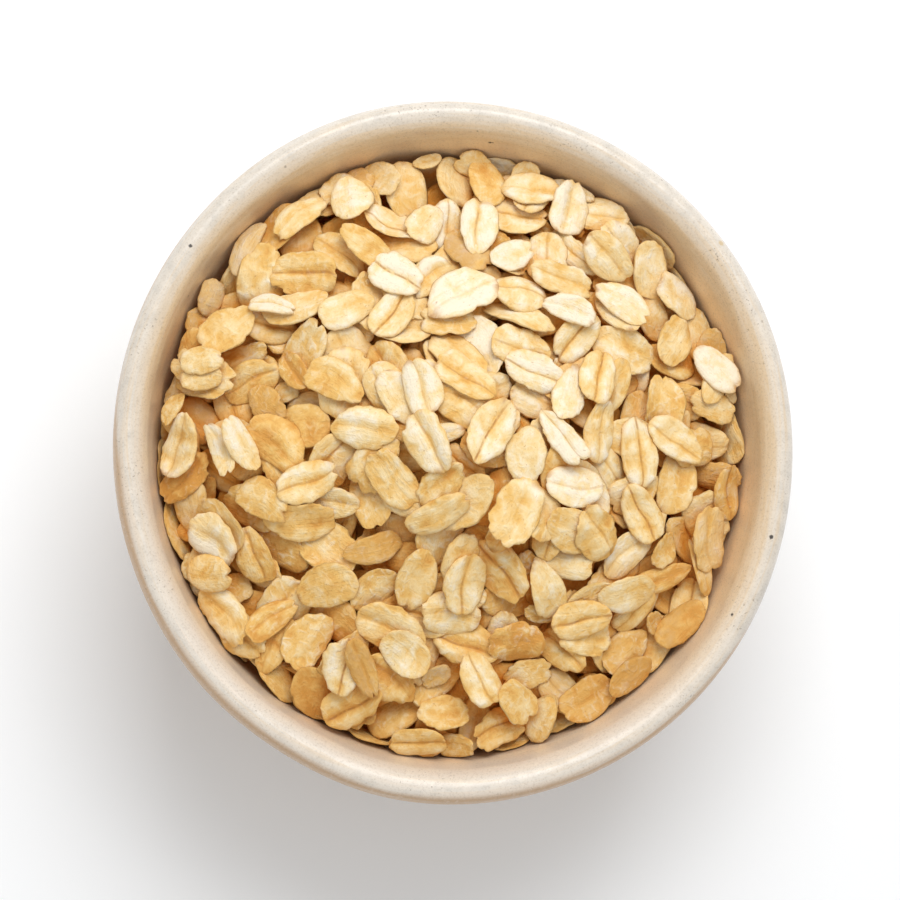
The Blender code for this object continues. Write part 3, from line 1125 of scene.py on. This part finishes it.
def rest_plane(x: np.ndarray, y: np.ndarray, least: np.ndarray) -> np.ndarray:
    """The lowest plane over the origin that clears every point: it stands on three of them, and
    their triangle holds the origin, which is how a stiff flake comes to rest.

    It starts from three far, low points, and swaps one of them for the point that the plane clears
    least, until all are cleared.

    Args:
        x: The points' places along the first axis.
        y: Their places along the second axis.
        least: The height that the plane must have over each.

    Returns:
        The plane's height over the origin and its two slopes.
    """
    enough, flattest, most_swaps = 0.02, 1e-6, 24
    far = np.array([(40.0, 0.0), (-20.0, 34.6), (-20.0, -34.6)])
    place = np.concatenate([far, np.stack([x, y], 1)])
    value = np.concatenate([np.full(3, least.min() - 60.0), least])
    terms = np.column_stack([np.ones(len(place)), place])
    held = [0, 1, 2]
    plane = np.linalg.solve(terms[held], value[held])
    for _ in range(most_swaps):
        short = value - terms @ plane
        worst = int(np.argmax(short))
        if short[worst] < enough:
            break
        for out in range(3):
            trial = [worst if k == out else held[k] for k in range(3)]
            matrix = terms[trial]
            if abs(np.linalg.det(matrix)) < flattest:
                continue
            weights = np.linalg.solve(matrix.T, np.array([1.0, 0.0, 0.0]))
            if weights.min() >= -1e-9:
                held = trial
                plane = np.linalg.solve(matrix, value[trial])
                break
        else:
            break
    return plane


@dataclass
class Resting:
    """Where flakes of one batch lie: their order numbers, turning matrices and middles."""

    used: int = 0
    picked: list[int] = field(default_factory=list)
    turns: list[np.ndarray] = field(default_factory=list)
    middles: list[np.ndarray] = field(default_factory=list)

    def add(self, number: int, turn: np.ndarray, middle: np.ndarray) -> None:
        """Notes one flake."""
        self.picked.append(number)
        self.turns.append(turn)
        self.middles.append(middle)

    def take(self) -> int:
        """The order number of the next flake of the batch."""
        self.used += 1
        return self.used - 1


def tipped(slopes: np.ndarray, yaw: float, flip: bool) -> np.ndarray:
    """The turning matrix of a flake that is turned over or not, then turned by yaw about Z, then
    tipped by the least turn that gives its plane these slopes.

    Args:
        slopes: The plane's rise along X and along Y.
        yaw: The turn about Z in radians.
        flip: Whether its lower skin faces up.

    Returns:
        A 3 by 3 matrix.
    """
    cos, sin = math.cos(yaw), math.sin(yaw)
    about = np.array([(cos, -sin, 0.0), (sin, cos, 0.0), (0.0, 0.0, 1.0)])
    if flip:
        about = about @ np.diag([1.0, -1.0, -1.0])
    up = np.array([-slopes[0], -slopes[1], 1.0])
    up /= np.linalg.norm(up)
    cross = np.cross((0.0, 0.0, 1.0), up)
    skew = np.array([(0, -cross[2], cross[1]), (cross[2], 0, -cross[0]), (-cross[1], cross[0], 0)])
    return (np.eye(3) + skew + skew @ skew / (1 + up[2])) @ about


@dataclass
class Heap:
    """The oats: a rough core, flakes laid on it up to the dome, and chosen flakes on top."""

    bowl: Bowl
    edge_drop: float
    rise: float
    centre: tuple[float, float]
    cone_share: float = 0.50
    bank: tuple[float, float, float, float] = (-7.0, -6.0, 48.0, 1.9)  # x, y, direction, height
    bank_steepness: float = 5.0
    bank_reach: float = 24.0
    core_depth: float = 6.0
    core_gap: float = 0.6  # between the core and the bowl
    trench: float = 0.5  # how much deeper the core lies beside the wall
    cell: float = 0.5
    clearance: float = 0.1
    steepest: float = 0.85
    most_shifts: int = 4  # times that a flake is moved away from the wall
    sunken: float = 0.05  # the share of a flake that may sink into what it rests on
    seed: int = 41
    # painted light and shade: flakes are lighter towards the key light and darker on the far side
    painted_light_slope: tuple[float, float] = (0.0018, 0.0036)  # how fast the tone grows along X and Y
    chosen_flour: float = 0.5
    wall_shade_from: float = 11.0  # from the wall, inside which flakes get the toasted colour as painted shade
    wall_shade_over: float = 7.0
    # how strongly flakes beside the wall get the toasted colour as painted shade
    wall_shade: float = 0.8
    blur: int = 5  # cells over which the height round a flake is averaged
    cell_share: float = 0.92  # of a cell of the baking map that its skin fills
    surface: "HeightField | None" = None
    batches: dict[FlakeKind, FlakeBatch] = field(default_factory=dict)
    resting: dict[FlakeKind, Resting] = field(default_factory=dict)
    samples: dict[FlakeKind, tuple[np.ndarray, np.ndarray]] = field(default_factory=dict)

    @property
    def edge(self) -> float:
        """The height of the oats at the wall."""
        return self.bowl.height - self.edge_drop

    def wall(self, x: np.ndarray, y: np.ndarray) -> np.ndarray:
        """The bowl's inner radius at the oats' edge, in the direction of each place."""
        return self.bowl.inner_radius(np.arctan2(y, x), np.full(np.shape(x), self.edge))

    def dome(self, x: np.ndarray, y: np.ndarray) -> np.ndarray:
        """The heap's height over a place: a cone and a round cap mixed, whose top lies beside the
        middle, down to the oats' edge at the wall, and a bank, a tanh step that fades as a Gaussian.

        Args:
            x: Places along X.
            y: Places along Y.

        Returns:
            Heights in millimetres.
        """
        limit = self.wall(x, y)
        share = np.clip(np.hypot(x, y) / limit, 0.0, 1.2)
        lean = np.clip(1 - share**2, 0.0, 1.0)
        x1, y1 = x - self.centre[0] * lean, y - self.centre[1] * lean
        share = np.clip(np.hypot(x1, y1) / limit, 0.0, 1.2)
        fall = self.cone_share * (1 - share) + (1 - self.cone_share) * (1 - share**2)
        at_x, at_y, direction, height = self.bank
        x2, y2 = x - at_x, y - at_y
        turn = math.radians(direction)
        step = np.tanh((x2 * math.cos(turn) + y2 * math.sin(turn)) / self.bank_steepness)
        step = height * step * np.exp(-(x2**2 + y2**2) / self.bank_reach**2)
        return self.edge + self.rise * fall + step

    def core_top(self, x: np.ndarray, y: np.ndarray) -> np.ndarray:
        """The core's rough top: the dome less the depth of loose flakes, with lumps of noise, and
        deeper still beside the wall."""
        beside = bell(np.clip(self.wall(x, y) - np.hypot(x, y), 0, 99) / 4.0)
        lumps = smooth_noise(x / 5.0, y / 5.0, np.zeros(np.shape(x)), 21)
        return self.dome(x, y) - self.core_depth - self.trench * beside + 0.7 * lumps

    def start(self, counts: dict[FlakeKind, int], chosen: list[ChosenFlake]) -> None:
        """Lays the core in the height field and draws the flakes.

        Args:
            counts: How many flakes of each kind to draw.
            chosen: The chosen flakes, which are the first of their kinds.
        """
        half = self.bowl.rim_radius + 2.0
        line = np.arange(-half, half + self.cell, self.cell)
        x, y = np.meshgrid(line, line)
        self.surface = HeightField(half, self.cell, self.core_top(x, y))
        s, r = np.meshgrid(np.linspace(-1, 1, 33), np.linspace(-1, 1, 25), indexing="ij")
        for order, (kind, count) in enumerate(counts.items()):
            batch = FlakeBatch(kind, count, self.seed + order)
            first = [flake for flake in chosen if flake.kind is kind]
            for name in ("length", "width", "tone", "toast_and_shade"):
                batch.numbers[name][: len(first)] = [getattr(flake, name) for flake in first]
            batch.numbers["flour"][: len(first)] *= self.chosen_flour
            upper, lower = batch.skins(s, r)[:2]
            self.batches[kind] = batch
            self.resting[kind] = Resting(used=len(first))
            self.samples[kind] = (upper.reshape(count, -1, 3), lower.reshape(count, -1, 3))

    def drawn(self, kinds: dict[FlakeKind, float], draw: np.random.Generator) -> FlakeKind | None:
        """Draws a kind.

        Args:
            kinds: The kinds and how often each is drawn.
            draw: The source of random numbers.

        Returns:
            The kind, or None where all of its flakes are laid.
        """
        kind = list(kinds)[draw.choice(len(kinds), p=list(kinds.values()))]
        if self.resting[kind].used < self.batches[kind].count:
            return kind
        LOG.warning("%s: all are laid", kind.value)
        return None

    def settle(
        self, kind: FlakeKind, number: int, x: float, y: float, yaw: float, flip: bool,
        tilt: np.ndarray, slopes: np.ndarray | None = None, top: float = -1e9,
    ) -> None:
        """Finds how a flake rests over a place and lays it there.

        It takes the slopes of its plane of rest and some more tilt, is lowered until it touches,
        and is moved away from the wall as far as it would reach into it.

        Args:
            kind: The flake's kind.
            number: Its number in its batch.
            x: Its middle's place along X.
            y: Its middle's place along Y.
            yaw: Its direction in radians.
            flip: Whether its lower skin faces up.
            tilt: Slopes to add.
            slopes: Its slopes where they are given, and None where it finds its own.
            top: The least height of its highest point.
        """
        upper, lower = self.samples[kind]
        if flip:
            upper, lower = lower, upper
        if slopes is None:
            level = tipped(np.zeros(2), yaw, flip)
            low = lower[number] @ level.T
            least = self.surface.at(low[:, 0] + x, low[:, 1] + y) - low[:, 2]
            slopes = rest_plane(low[:, 0], low[:, 1], least)[1:] + tilt
            slopes = slopes * min(1.0, self.steepest / max(math.hypot(*slopes), 1e-9))
        turn = tipped(slopes, yaw, flip)
        low, high = lower[number] @ turn.T, upper[number] @ turn.T
        both = np.concatenate([low, high])
        middle = np.array([x, y, 0.0])
        for _ in range(self.most_shifts):
            gap = self.surface.at(low[:, 0] + middle[0], low[:, 1] + middle[1]) - low[:, 2]
            middle[2] = max(np.quantile(gap, 1 - self.sunken), top - both[:, 2].max())
            placed = both + middle
            limit = self.bowl.inner_radius(np.arctan2(placed[:, 1], placed[:, 0]), placed[:, 2])
            over = float((np.hypot(placed[:, 0], placed[:, 1]) - limit).max()) + self.clearance
            if over <= 0:
                break
            middle[:2] *= 1 - over / math.hypot(middle[0], middle[1])
        self.surface.lay(high + middle)
        self.resting[kind].add(number, turn, middle)

    def fill(
        self, kinds: dict[FlakeKind, float], short: float, wild: float, draw: np.random.Generator,
        wide: float = 2.4,
    ) -> None:
        """Lays random flakes until the heap is nowhere more than a little below the dome. Each goes
        to the place that lacks most of some random ones.

        Args:
            kinds: The kinds to draw from and how often each is drawn.
            short: How far below the dome the filling stops.
            wild: How much tilt is added to a flake's rest.
            draw: The source of random numbers.
            wide: How far round a place its lack is averaged.
        """
        tries, most_idle, flipped, wilder = 40, 30, 0.4, 0.15
        reach = self.bowl.rim_radius - 8.5
        line = np.linspace(-wide, wide, 5)
        offsets = np.stack(np.meshgrid(line, line), -1).reshape(-1, 2)
        idle = 0
        while idle < most_idle:
            kind = self.drawn(kinds, draw)
            if kind is None:
                break
            radius = reach * np.sqrt(draw.random(tries))
            angle = draw.uniform(0, 2 * np.pi, tries)
            x, y = radius * np.cos(angle), radius * np.sin(angle)
            near_x, near_y = x[:, None] + offsets[:, 0], y[:, None] + offsets[:, 1]
            inside = np.hypot(near_x, near_y) < self.wall(near_x, near_y)
            lack = self.dome(near_x, near_y) - self.surface.at(near_x, near_y)
            lack = np.where(inside, lack, 0.0).mean(1)
            best = int(np.argmax(lack))
            if lack[best] < short:
                idle += 1
                continue
            idle = 0
            tilt = draw.normal(0.0, wild * (3.0 if draw.random() < wilder else 1.0), 2)
            self.settle(kind, self.resting[kind].take(), x[best], y[best], draw.uniform(0, 2 * np.pi),
                        bool(draw.random() < flipped), tilt)

    def stand(self, count: int, draw: np.random.Generator) -> None:
        """Leans flakes steeply against the wall, one after another round the bowl.

        Args:
            count: How many.
            draw: The source of random numbers.
        """
        for step in range(count):
            turn = 2 * np.pi * (step + draw.uniform(-0.4, 0.4)) / count
            kind = FlakeKind.SMOOTH if draw.random() < 0.6 else FlakeKind.CREASED
            wall = float(self.bowl.inner_radius(np.array([turn]), np.array([self.edge]))[0])
            away = wall - draw.uniform(1.0, 4.0)
            slopes = draw.uniform(0.8, 2.4) * np.array([math.cos(turn), math.sin(turn)])
            self.settle(kind, self.resting[kind].take(), away * math.cos(turn), away * math.sin(turn),
                        turn + math.pi / 2 + draw.normal(0, 0.3), bool(draw.random() < 0.5), np.zeros(2),
                        slopes, self.edge + draw.uniform(-2.0, 0.6))

    def line_wall(self, kinds: dict[FlakeKind, float], level: float, draw: np.random.Generator) -> None:
        """Lays flakes against the wall, their long way along it, until they reach a height there.

        Args:
            kinds: The kinds to draw from and how often each is drawn.
            level: The height in millimetres.
            draw: The source of random numbers.
        """
        tries, most_idle, enough = 60, 12, 0.4
        aside = np.array([0.5, 1.2, 2.0])
        idle = 0
        while idle < most_idle:
            turn = draw.uniform(0, 2 * np.pi, tries)
            wall = self.bowl.inner_radius(turn, np.full(tries, level))
            reach = wall[:, None] - aside
            cos, sin = np.cos(turn)[:, None], np.sin(turn)[:, None]
            lack = level - self.surface.at(reach * cos, reach * sin).mean(1)
            best = int(np.argmax(lack))
            if lack[best] < enough:
                idle += 1
                continue
            kind = self.drawn(kinds, draw)
            if kind is None:
                break
            way = np.array([math.cos(turn[best]), math.sin(turn[best])])
            x, y = (wall[best] - 1.0) * way
            self.settle(kind, self.resting[kind].take(), x, y,
                        turn[best] + math.pi / 2 + draw.normal(0, 0.4),
                        bool(draw.random() < 0.5), draw.uniform(-0.2, 0.5) * way)

    def choose(self, chosen: list[ChosenFlake]) -> None:
        """Lays the chosen flakes in their order, with the crease up."""
        laid = {kind: 0 for kind in FlakeKind}
        for flake in chosen:
            self.settle(flake.kind, laid[flake.kind], flake.x, flake.y, math.radians(flake.yaw),
                        False, np.zeros(2))
            laid[flake.kind] += 1

    def laid(self, kind: FlakeKind) -> FlakeBatch:
        """The flakes of a kind that were laid, toned by their places: the tone grows along X and Y,
        lighter towards the key light as painted light and darker on the far side as painted shade, and
        those beside the wall get the toasted colour as painted shade.

        Args:
            kind: The kind.

        Returns:
            A batch of them alone.
        """
        rest = self.resting[kind]
        batch = FlakeBatch(kind, len(rest.picked), 0)
        n = {name: values[rest.picked] for name, values in self.batches[kind].numbers.items()}
        x, y = np.array(rest.middles)[:, :2].T
        inward = self.wall(x, y) - np.hypot(x, y)
        beside = np.clip((self.wall_shade_from - inward) / self.wall_shade_over, 0.0, 1.0)
        # painted light and shade: tone grows towards the key light's side
        n["tone"] = n["tone"] + self.painted_light_slope[0] * x + self.painted_light_slope[1] * y
        toast_and_shade = self.wall_shade * (2 * n["flour"] - 1)
        # painted shade: flakes beside the wall get the toasted colour
        n["toast_and_shade"] = np.maximum(n["toast_and_shade"], beside * toast_and_shade)
        batch.numbers = n
        return batch

    def mesh(self, kind: FlakeKind, finish: bpy.types.Material) -> bpy.types.Object:
        """Joins the flakes of one kind that were laid into one piece.

        Its baking map gives each skin of each flake a cell of its own in a square sheet of cells.

        Args:
            kind: The kind.
            finish: Its material.

        Returns:
            The piece.
        """
        rest, batch = self.resting[kind], self.laid(kind)
        many = batch.count
        grid = FlakeGrid.coarse() if kind is FlakeKind.UNDER else FlakeGrid.fine()
        s, r = grid.places()
        faces, own, up = grid.corners()
        skins = [skin.reshape(many, s.size, -1) for skin in batch.skins(s, r)]
        points = np.concatenate([skins[0], skins[1][:, own]], 1)
        points = np.einsum("nij,nkj->nki", np.array(rest.turns), points) + np.array(rest.middles)[:, None]
        size = points.shape[1]
        all_faces = (faces[None] + size * np.arange(many)[:, None, None]).reshape(-1, 4)
        points = points.reshape(-1, 3)
        made = mesh_object(kind.value, points, all_faces, "root", finish)

        index = np.concatenate([np.arange(s.size), own])[faces]
        disc = np.stack([place.ravel() for place in disc_places(s, r)], 1)
        add_uv(made.data, "flake_map", np.tile((disc[index] * 0.5 + 0.5).reshape(-1, 2), (many, 1)))
        cells = int(np.ceil(np.sqrt(2 * many)))
        cell = 2 * np.arange(many)[:, None] + np.where(up, 0, 1)[None]
        corner = np.stack([cell % cells, cell // cells], -1)[:, :, None]
        inner = np.stack([s.ravel(), r.ravel()], 1)[index] * self.cell_share / 2 + 0.5
        add_uv(made.data, "OFBake", ((corner + inner[None]) / cells).reshape(-1, 2))
        side = np.concatenate([np.ones(s.size), np.zeros(len(own))])
        for name in ("tone", "toast_and_shade", "flour", "dice"):
            add_number(made.data, name, np.repeat(batch.numbers[name], size))
        add_number(made.data, "groove", np.repeat(batch.numbers["crease"], size))
        add_number(made.data, "creased_side", np.tile(side, many))
        add_number(made.data, "raised", np.concatenate([skins[2], skins[3][:, own]], 1))
        # how deep each point lies below its surroundings, for the painted shade in the gaps
        around = self.surface.blurred(self.blur).at(points[:, 0], points[:, 1])
        add_number(made.data, "sunk", around - points[:, 2])
        return made

    def core(self, finish: bpy.types.Material) -> bpy.types.Object:
        """The rough mass under the loose flakes: a disc of rings with the core's top above and the
        bowl's inside below.

        Args:
            finish: Its material.

        Returns:
            The piece.
        """
        rings, steps, thinnest = 56, 168, 0.5
        edge = self.edge - self.core_depth - self.trench
        turn = np.linspace(0, 2 * np.pi, steps, endpoint=False)[None]
        share = (np.arange(1, rings + 1) / rings)[:, None]
        radius = share * (self.bowl.inner_radius(turn, np.full(turn.shape, edge)) - self.core_gap)
        x, y = radius * np.cos(turn), radius * np.sin(turn)
        chips = smooth_noise(x / 1.7, y / 1.7, np.zeros(x.shape), 22)
        upper = np.stack([x, y, self.core_top(x, y) + 0.5 * chips - 0.5], 2)
        reach, depth = self.bowl.inner_size
        out = np.clip((radius - self.bowl.flat_radius) / reach, 0.0, 1.0)
        floor = self.bowl.recess + self.bowl.base + self.core_gap
        below = floor + depth * (1 - np.sqrt(1 - out**2))
        lower = np.stack([x, y, np.minimum(below, upper[:, :, 2] - thinnest)], 2)
        poles = [(0, 0, self.core_top(np.zeros(1), np.zeros(1))[0]), (0, 0, floor)]
        points = np.concatenate([upper.reshape(-1, 3), lower.reshape(-1, 3), poles])

        squares = ring_squares(rings, steps)
        block, rim = rings * steps, (rings - 1) * steps
        here = rim + np.arange(steps)
        after = np.roll(here, -1)
        side = np.stack([here, block + here, block + after, after], 1)
        centre = len(points) - 2
        caps = [fan(centre, 0, steps), fan(centre + 1, block, steps, under=True)]
        faces = np.concatenate([halved(np.concatenate([squares, squares[:, ::-1] + block, side])), *caps])
        made = mesh_object("oats_core", points, faces, "root", finish)
        # painted shade: the whole core counts as deep, so it is multiplied fully towards amber
        add_number(made.data, "sunk", np.full(len(points), self.core_depth))
        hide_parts("oats")
        return made


@dataclass(frozen=True)
class OatFinish:
    """The skin of a rolled oat: cream where it is raised, as a painted highlight, and gold where it
    is sunk, as painted shade, with an amber crease and edge."""

    deep: Colour = (222, 160, 76)
    gold: Colour = (239, 192, 110)
    cream: Colour = (249, 221, 164)
    flour: Colour = (253, 240, 213)
    amber: Colour = (176, 112, 42)
    # the toasted colour: real toast, and painted shade for flakes beside the wall
    toast_and_shade: Colour = (204, 145, 64)
    # painted shade: the amber that skin deep among other flakes is multiplied by
    shade: Colour = (249, 208, 138)
    relief: float = 0.0009  # metres

    def material(self) -> bpy.types.Material:
        """Makes the finish.

        Every flake's own numbers move its ramp: tone shifts it from gold to cream, toasted flakes turn
        orange, flakes beside the wall get the same orange as painted shade, and flour dusts it. Raised
        skin is pushed towards cream as a painted highlight and sunk skin towards gold as painted shade.
        Patterns follow the flake's own map, where x runs along it and y across it from -1 to 1, so they
        turn with it. Skin that lies deep among other flakes is multiplied towards amber as painted shade,
        standing in for the shadow there and for the light that has passed through oats.

        Returns:
            The material.
        """
        s = NodeSketch("rolled_oat")
        across = s.split(s.node("UVMap", uv_map="flake_map").outputs[0])
        x, y = (s.math("SUBTRACT", s.times(part, 2.0), 1.0) for part in across[:2])
        side = s.attribute("creased_side")
        level = s.plus(s.attribute("dice"), side)

        def skin(along: float, wide: float, detail: float, rough: float, bent: float = 0.0) -> Socket:
            """Noise with so many lattice steps to a flake's half length and half width."""
            return s.noise(s.join(s.times(x, along), s.times(y, wide), level), 1.0, detail, rough, bent)

        mottle = s.noise(s.join(x, s.times(y, 0.8), level), 1.6, 3.0, 0.55, 0.5)
        fibre = skin(1.4, 9.0, 3.0, 0.6)
        folds = skin(3.6, 2.2, 3.0, 0.55, 0.8)
        threads = skin(9.0, 7.0, 2.0, 0.5, 1.2)
        place = s.join(x, y, level)
        grain = s.noise(place, 14.0, 4.0, 0.7)

        shade = s.plus(0.54, s.centred(s.attribute("tone"), 0.75))
        for value, span in ((mottle, 0.92), (folds, 0.65), (fibre, 0.24), (grain, 0.24)):
            shade = s.plus(shade, s.centred(value, span))
        # painted highlight and shade: raised skin is pushed towards cream, sunk skin towards gold
        shade = s.plus(shade, s.spread(s.attribute("raised"), -0.45, 0.55, -0.30, 0.30))
        stops = [(0.08, self.deep), (0.36, self.gold), (0.70, self.cream), (1.0, self.flour)]
        colour = s.ramp(shade, stops)

        line = s.spread(s.math("ABSOLUTE", s.plus(y, s.centred(mottle, 0.10))), 0.01, 0.09, 1.0, 0.0)
        line = s.times(line, s.times(side, s.spread(s.attribute("groove"), 0.1, 0.5)))
        line = s.times(line, s.spread(folds, 0.28, 0.62, 0.10, 0.90))
        colour = s.blend(line, colour, self.amber)
        far = s.math("SQRT", s.plus(s.times(x, x), s.times(y, y)))
        rim = s.spread(s.plus(far, s.centred(mottle, 0.30)), 0.86, 1.04, 0.0, 0.55)
        colour = s.blend(rim, colour, self.gold)
        tips = s.times(s.spread(s.math("ABSOLUTE", x), 0.70, 1.0), s.spread(mottle, 0.50, 0.68, 0.0, 0.7))
        colour = s.blend(tips, colour, self.amber)
        dust = s.times(s.spread(folds, 0.50, 0.74), s.times(s.attribute("flour"), 0.60))
        colour = s.blend(dust, colour, self.flour)
        freckle = s.spread(s.noise(place, 8.0, 2.0, 0.6), 0.66, 0.76, 0.0, 0.45)
        colour = s.blend(freckle, colour, self.amber)
        colour = s.blend(s.spread(threads, 0.54, 0.68, 0.0, 0.10), colour, self.amber)
        # real toast, and painted shade for flakes beside the wall
        toast_and_shade_share = s.times(s.attribute("toast_and_shade"), s.spread(mottle, 0.30, 0.62, 0.25, 0.95))
        colour = s.blend(toast_and_shade_share, colour, self.toast_and_shade)
        # painted shade: skin deep among other flakes is multiplied towards amber
        painted_depth_shade = s.spread(s.attribute("sunk"), 0.4, 3.5, 0.0, 1.0)
        s.feed(s.shader.inputs["Base Color"], s.blend(painted_depth_shade, colour, self.shade, "MULTIPLY"))

        s.feed(s.shader.inputs["Roughness"], s.spread(grain, 0.2, 0.8, 0.50, 0.80))
        s.shader.inputs["Specular IOR Level"].default_value = 0.35
        height = s.plus(s.times(grain, 0.28), s.times(fibre, 0.30), s.times(folds, 0.55))
        s.feed(s.shader.inputs["Normal"], s.bump(height, self.relief, 0.7))
        return s.material


# ------------------------------------------------------------------------------ the studio


@dataclass
class Studio:
    """A pale floor, one large soft light and an even surround, and the camera nearly overhead.
    Lengths are metres, and angles are degrees."""

    target: tuple[float, float, float]
    distance: float = 0.62
    tilt: float = 7.6
    lean_direction: float = 219.0
    view_width: float = 0.1612
    sensor: float = 36.0  # millimetres
    floor_half: float = 1.6
    floor_drop: float = 0.0002

    def link(self, name: str, data: bpy.types.ID) -> bpy.types.Object:
        """Makes an object in the scene."""
        made = bpy.data.objects.new(name, data)
        bpy.context.scene.collection.objects.link(made)
        return made

    def floor(self) -> None:
        """A wide pale floor."""
        half = self.floor_half
        corners = [(-half, -half, 0), (half, -half, 0), (half, half, 0), (-half, half, 0)]
        mesh = bpy.data.meshes.new("floor")
        mesh.from_pydata(corners, [], [(0, 1, 2, 3)])
        s = NodeSketch("pale_floor")
        s.shader.inputs["Base Color"].default_value = (0.957, 0.972, 0.985, 1)
        s.shader.inputs["Roughness"].default_value = 0.8
        s.shader.inputs["Specular IOR Level"].default_value = 0.2
        mesh.materials.append(s.material)
        made = self.link("floor", mesh)
        made.location.z = -self.floor_drop

    def light(self, name: str, direction: float, rise: float, away: float, size: float, power: float) -> None:
        """Adds a square area light aimed at the target.

        Args:
            name: Its name.
            direction: Where it stands round the object, in degrees from +X.
            rise: Its height above the level, in degrees.
            away: Its distance in metres.
            size: Its side in metres.
            power: Its watts.
        """
        data = bpy.data.lights.new(name, "AREA")
        data.shape, data.size, data.energy = "SQUARE", size, power
        turn, up = math.radians(direction), math.radians(rise)
        reach = Vector((math.cos(turn) * math.cos(up), math.sin(turn) * math.cos(up), math.sin(up)))
        made = self.link(name, data)
        made.location = Vector(self.target) + away * reach
        made.rotation_euler = (-reach).to_track_quat("-Z", "Y").to_euler()

    def camera(self) -> None:
        """The camera, tipped a little towards the lower left, with +Y up in its view."""
        turn, tip = math.radians(self.lean_direction), math.radians(self.tilt)
        back = Vector((math.cos(turn) * math.sin(tip), math.sin(turn) * math.sin(tip), math.cos(tip)))
        right = Vector((0, 1, 0)).cross(back).normalized()
        data = bpy.data.cameras.new("camera")
        data.sensor_width = self.sensor
        data.lens = self.sensor * self.distance / self.view_width
        data.clip_start, data.clip_end = 0.01, 20.0
        made = self.link("camera", data)
        matrix = Matrix((right, back.cross(right), back)).transposed().to_4x4()
        matrix.translation = Vector(self.target) + self.distance * back
        made.matrix_world = matrix
        bpy.context.scene.camera = made

    def surround(self, strength: float) -> None:
        """An even white surround."""
        world = bpy.data.worlds.new("surround")
        world.use_nodes = True
        shade = world.node_tree.nodes["Background"]
        shade.inputs["Color"].default_value = (1.0, 1.0, 1.0, 1.0)
        shade.inputs["Strength"].default_value = strength
        bpy.context.scene.world = world
        bpy.context.scene.view_settings.view_transform = "Standard"


# ------------------------------------------------------------------------------ the whole

SPECKS = [
    IronSpeck((-48.0, 35.9, 57.9), 0.42),
    IronSpeck((-48.2, 27.4, 53.2), 0.36, 0.9),
    IronSpeck((56.9, -15.6, 58.2), 0.47),
    IronSpeck((49.7, -29.6, 57.5), 0.37),
    IronSpeck((6.4, 56.3, 53.5), 0.40),
    IronSpeck((6.9, 56.3, 53.5), 0.34, 0.8),
    IronSpeck((3.8, 57.8, 56.5), 0.30, 0.5),
    IronSpeck((47.1, 35.8, 58.0), 0.30, 0.4),
    IronSpeck((-31.1, 50.5, 57.7), 0.28, 0.4),
    IronSpeck((48.2, 37.9, 57.5), 0.70, 0.6, True),
]
DRAWN = {
    FlakeKind.UNDER: 700,
    FlakeKind.CREASED: 300,
    FlakeKind.SMOOTH: 260,
    FlakeKind.RUMPLED: 240,
    FlakeKind.CURLED: 200,
    FlakeKind.SLENDER: 160,
    FlakeKind.BROKEN: 300,
}
ALONG_WALL = {FlakeKind.BROKEN: 0.4, FlakeKind.SLENDER: 0.2, FlakeKind.SMOOTH: 0.2, FlakeKind.CREASED: 0.2}
ON_TOP = {
    FlakeKind.CREASED: 0.30,
    FlakeKind.SMOOTH: 0.20,
    FlakeKind.RUMPLED: 0.16,
    FlakeKind.CURLED: 0.12,
    FlakeKind.SLENDER: 0.10,
    FlakeKind.BROKEN: 0.12,
}
WALL_CHIPS = {FlakeKind.BROKEN: 0.7, FlakeKind.SLENDER: 0.3}
GAP_CHIPS = {FlakeKind.BROKEN: 0.6, FlakeKind.SLENDER: 0.4}
STANDING = 22


def lay_oats(bowl: Bowl) -> Heap:
    """Lays the heap from below: standing flakes, under flakes, the wall's, the top's, small ones in
    the gaps, and the chosen ones.

    Args:
        bowl: The bowl that holds it.

    Returns:
        The heap, with all of its flakes at rest.
    """
    heap = Heap(bowl=bowl, edge_drop=11.6, rise=19.2, centre=(-4.0, 1.0))
    heap.start(DRAWN, CHOSEN)
    draw = np.random.default_rng(5)
    heap.stand(STANDING, draw)
    heap.fill({FlakeKind.UNDER: 1.0}, 3.0, 0.10, draw)
    heap.line_wall(ALONG_WALL, heap.edge - 1.0, draw)
    heap.fill(ON_TOP, -0.2, 0.11, draw)
    heap.line_wall(WALL_CHIPS, heap.edge, draw)
    heap.fill(GAP_CHIPS, 1.2, 0.10, draw, wide=1.2)
    heap.choose(CHOSEN)
    return heap


def main() -> None:
    """Builds the bowl to the CAD bowl's box, then the heap and the studio in turn; the two CAD parts are
    hidden.
    """
    logging.basicConfig(level=logging.INFO, format="%(name)s %(message)s")
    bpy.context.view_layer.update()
    low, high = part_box("bowl")
    rim = ((high[0] - low[0]) / 2 / MM + (high[1] - low[1]) / 2 / MM) / 2
    bowl = Bowl(height=high[2] / MM, rim_radius=round(rim, 2))
    bowl.build(StonewareGlaze(), SPECKS)

    heap = lay_oats(bowl)
    finish = OatFinish().material()
    heap.core(finish)
    for kind in FlakeKind:
        LOG.info("%s: %d laid", kind.value, len(heap.resting[kind].picked))
        heap.mesh(kind, finish)

    studio = Studio(target=(-0.0014, -0.0003, bowl.height * MM))
    studio.floor()
    studio.surround(0.64)
    studio.light("key", direction=83.0, rise=56.0, away=0.9, size=0.56, power=5.50)
    studio.camera()


if __name__ == "__main__":
    main()
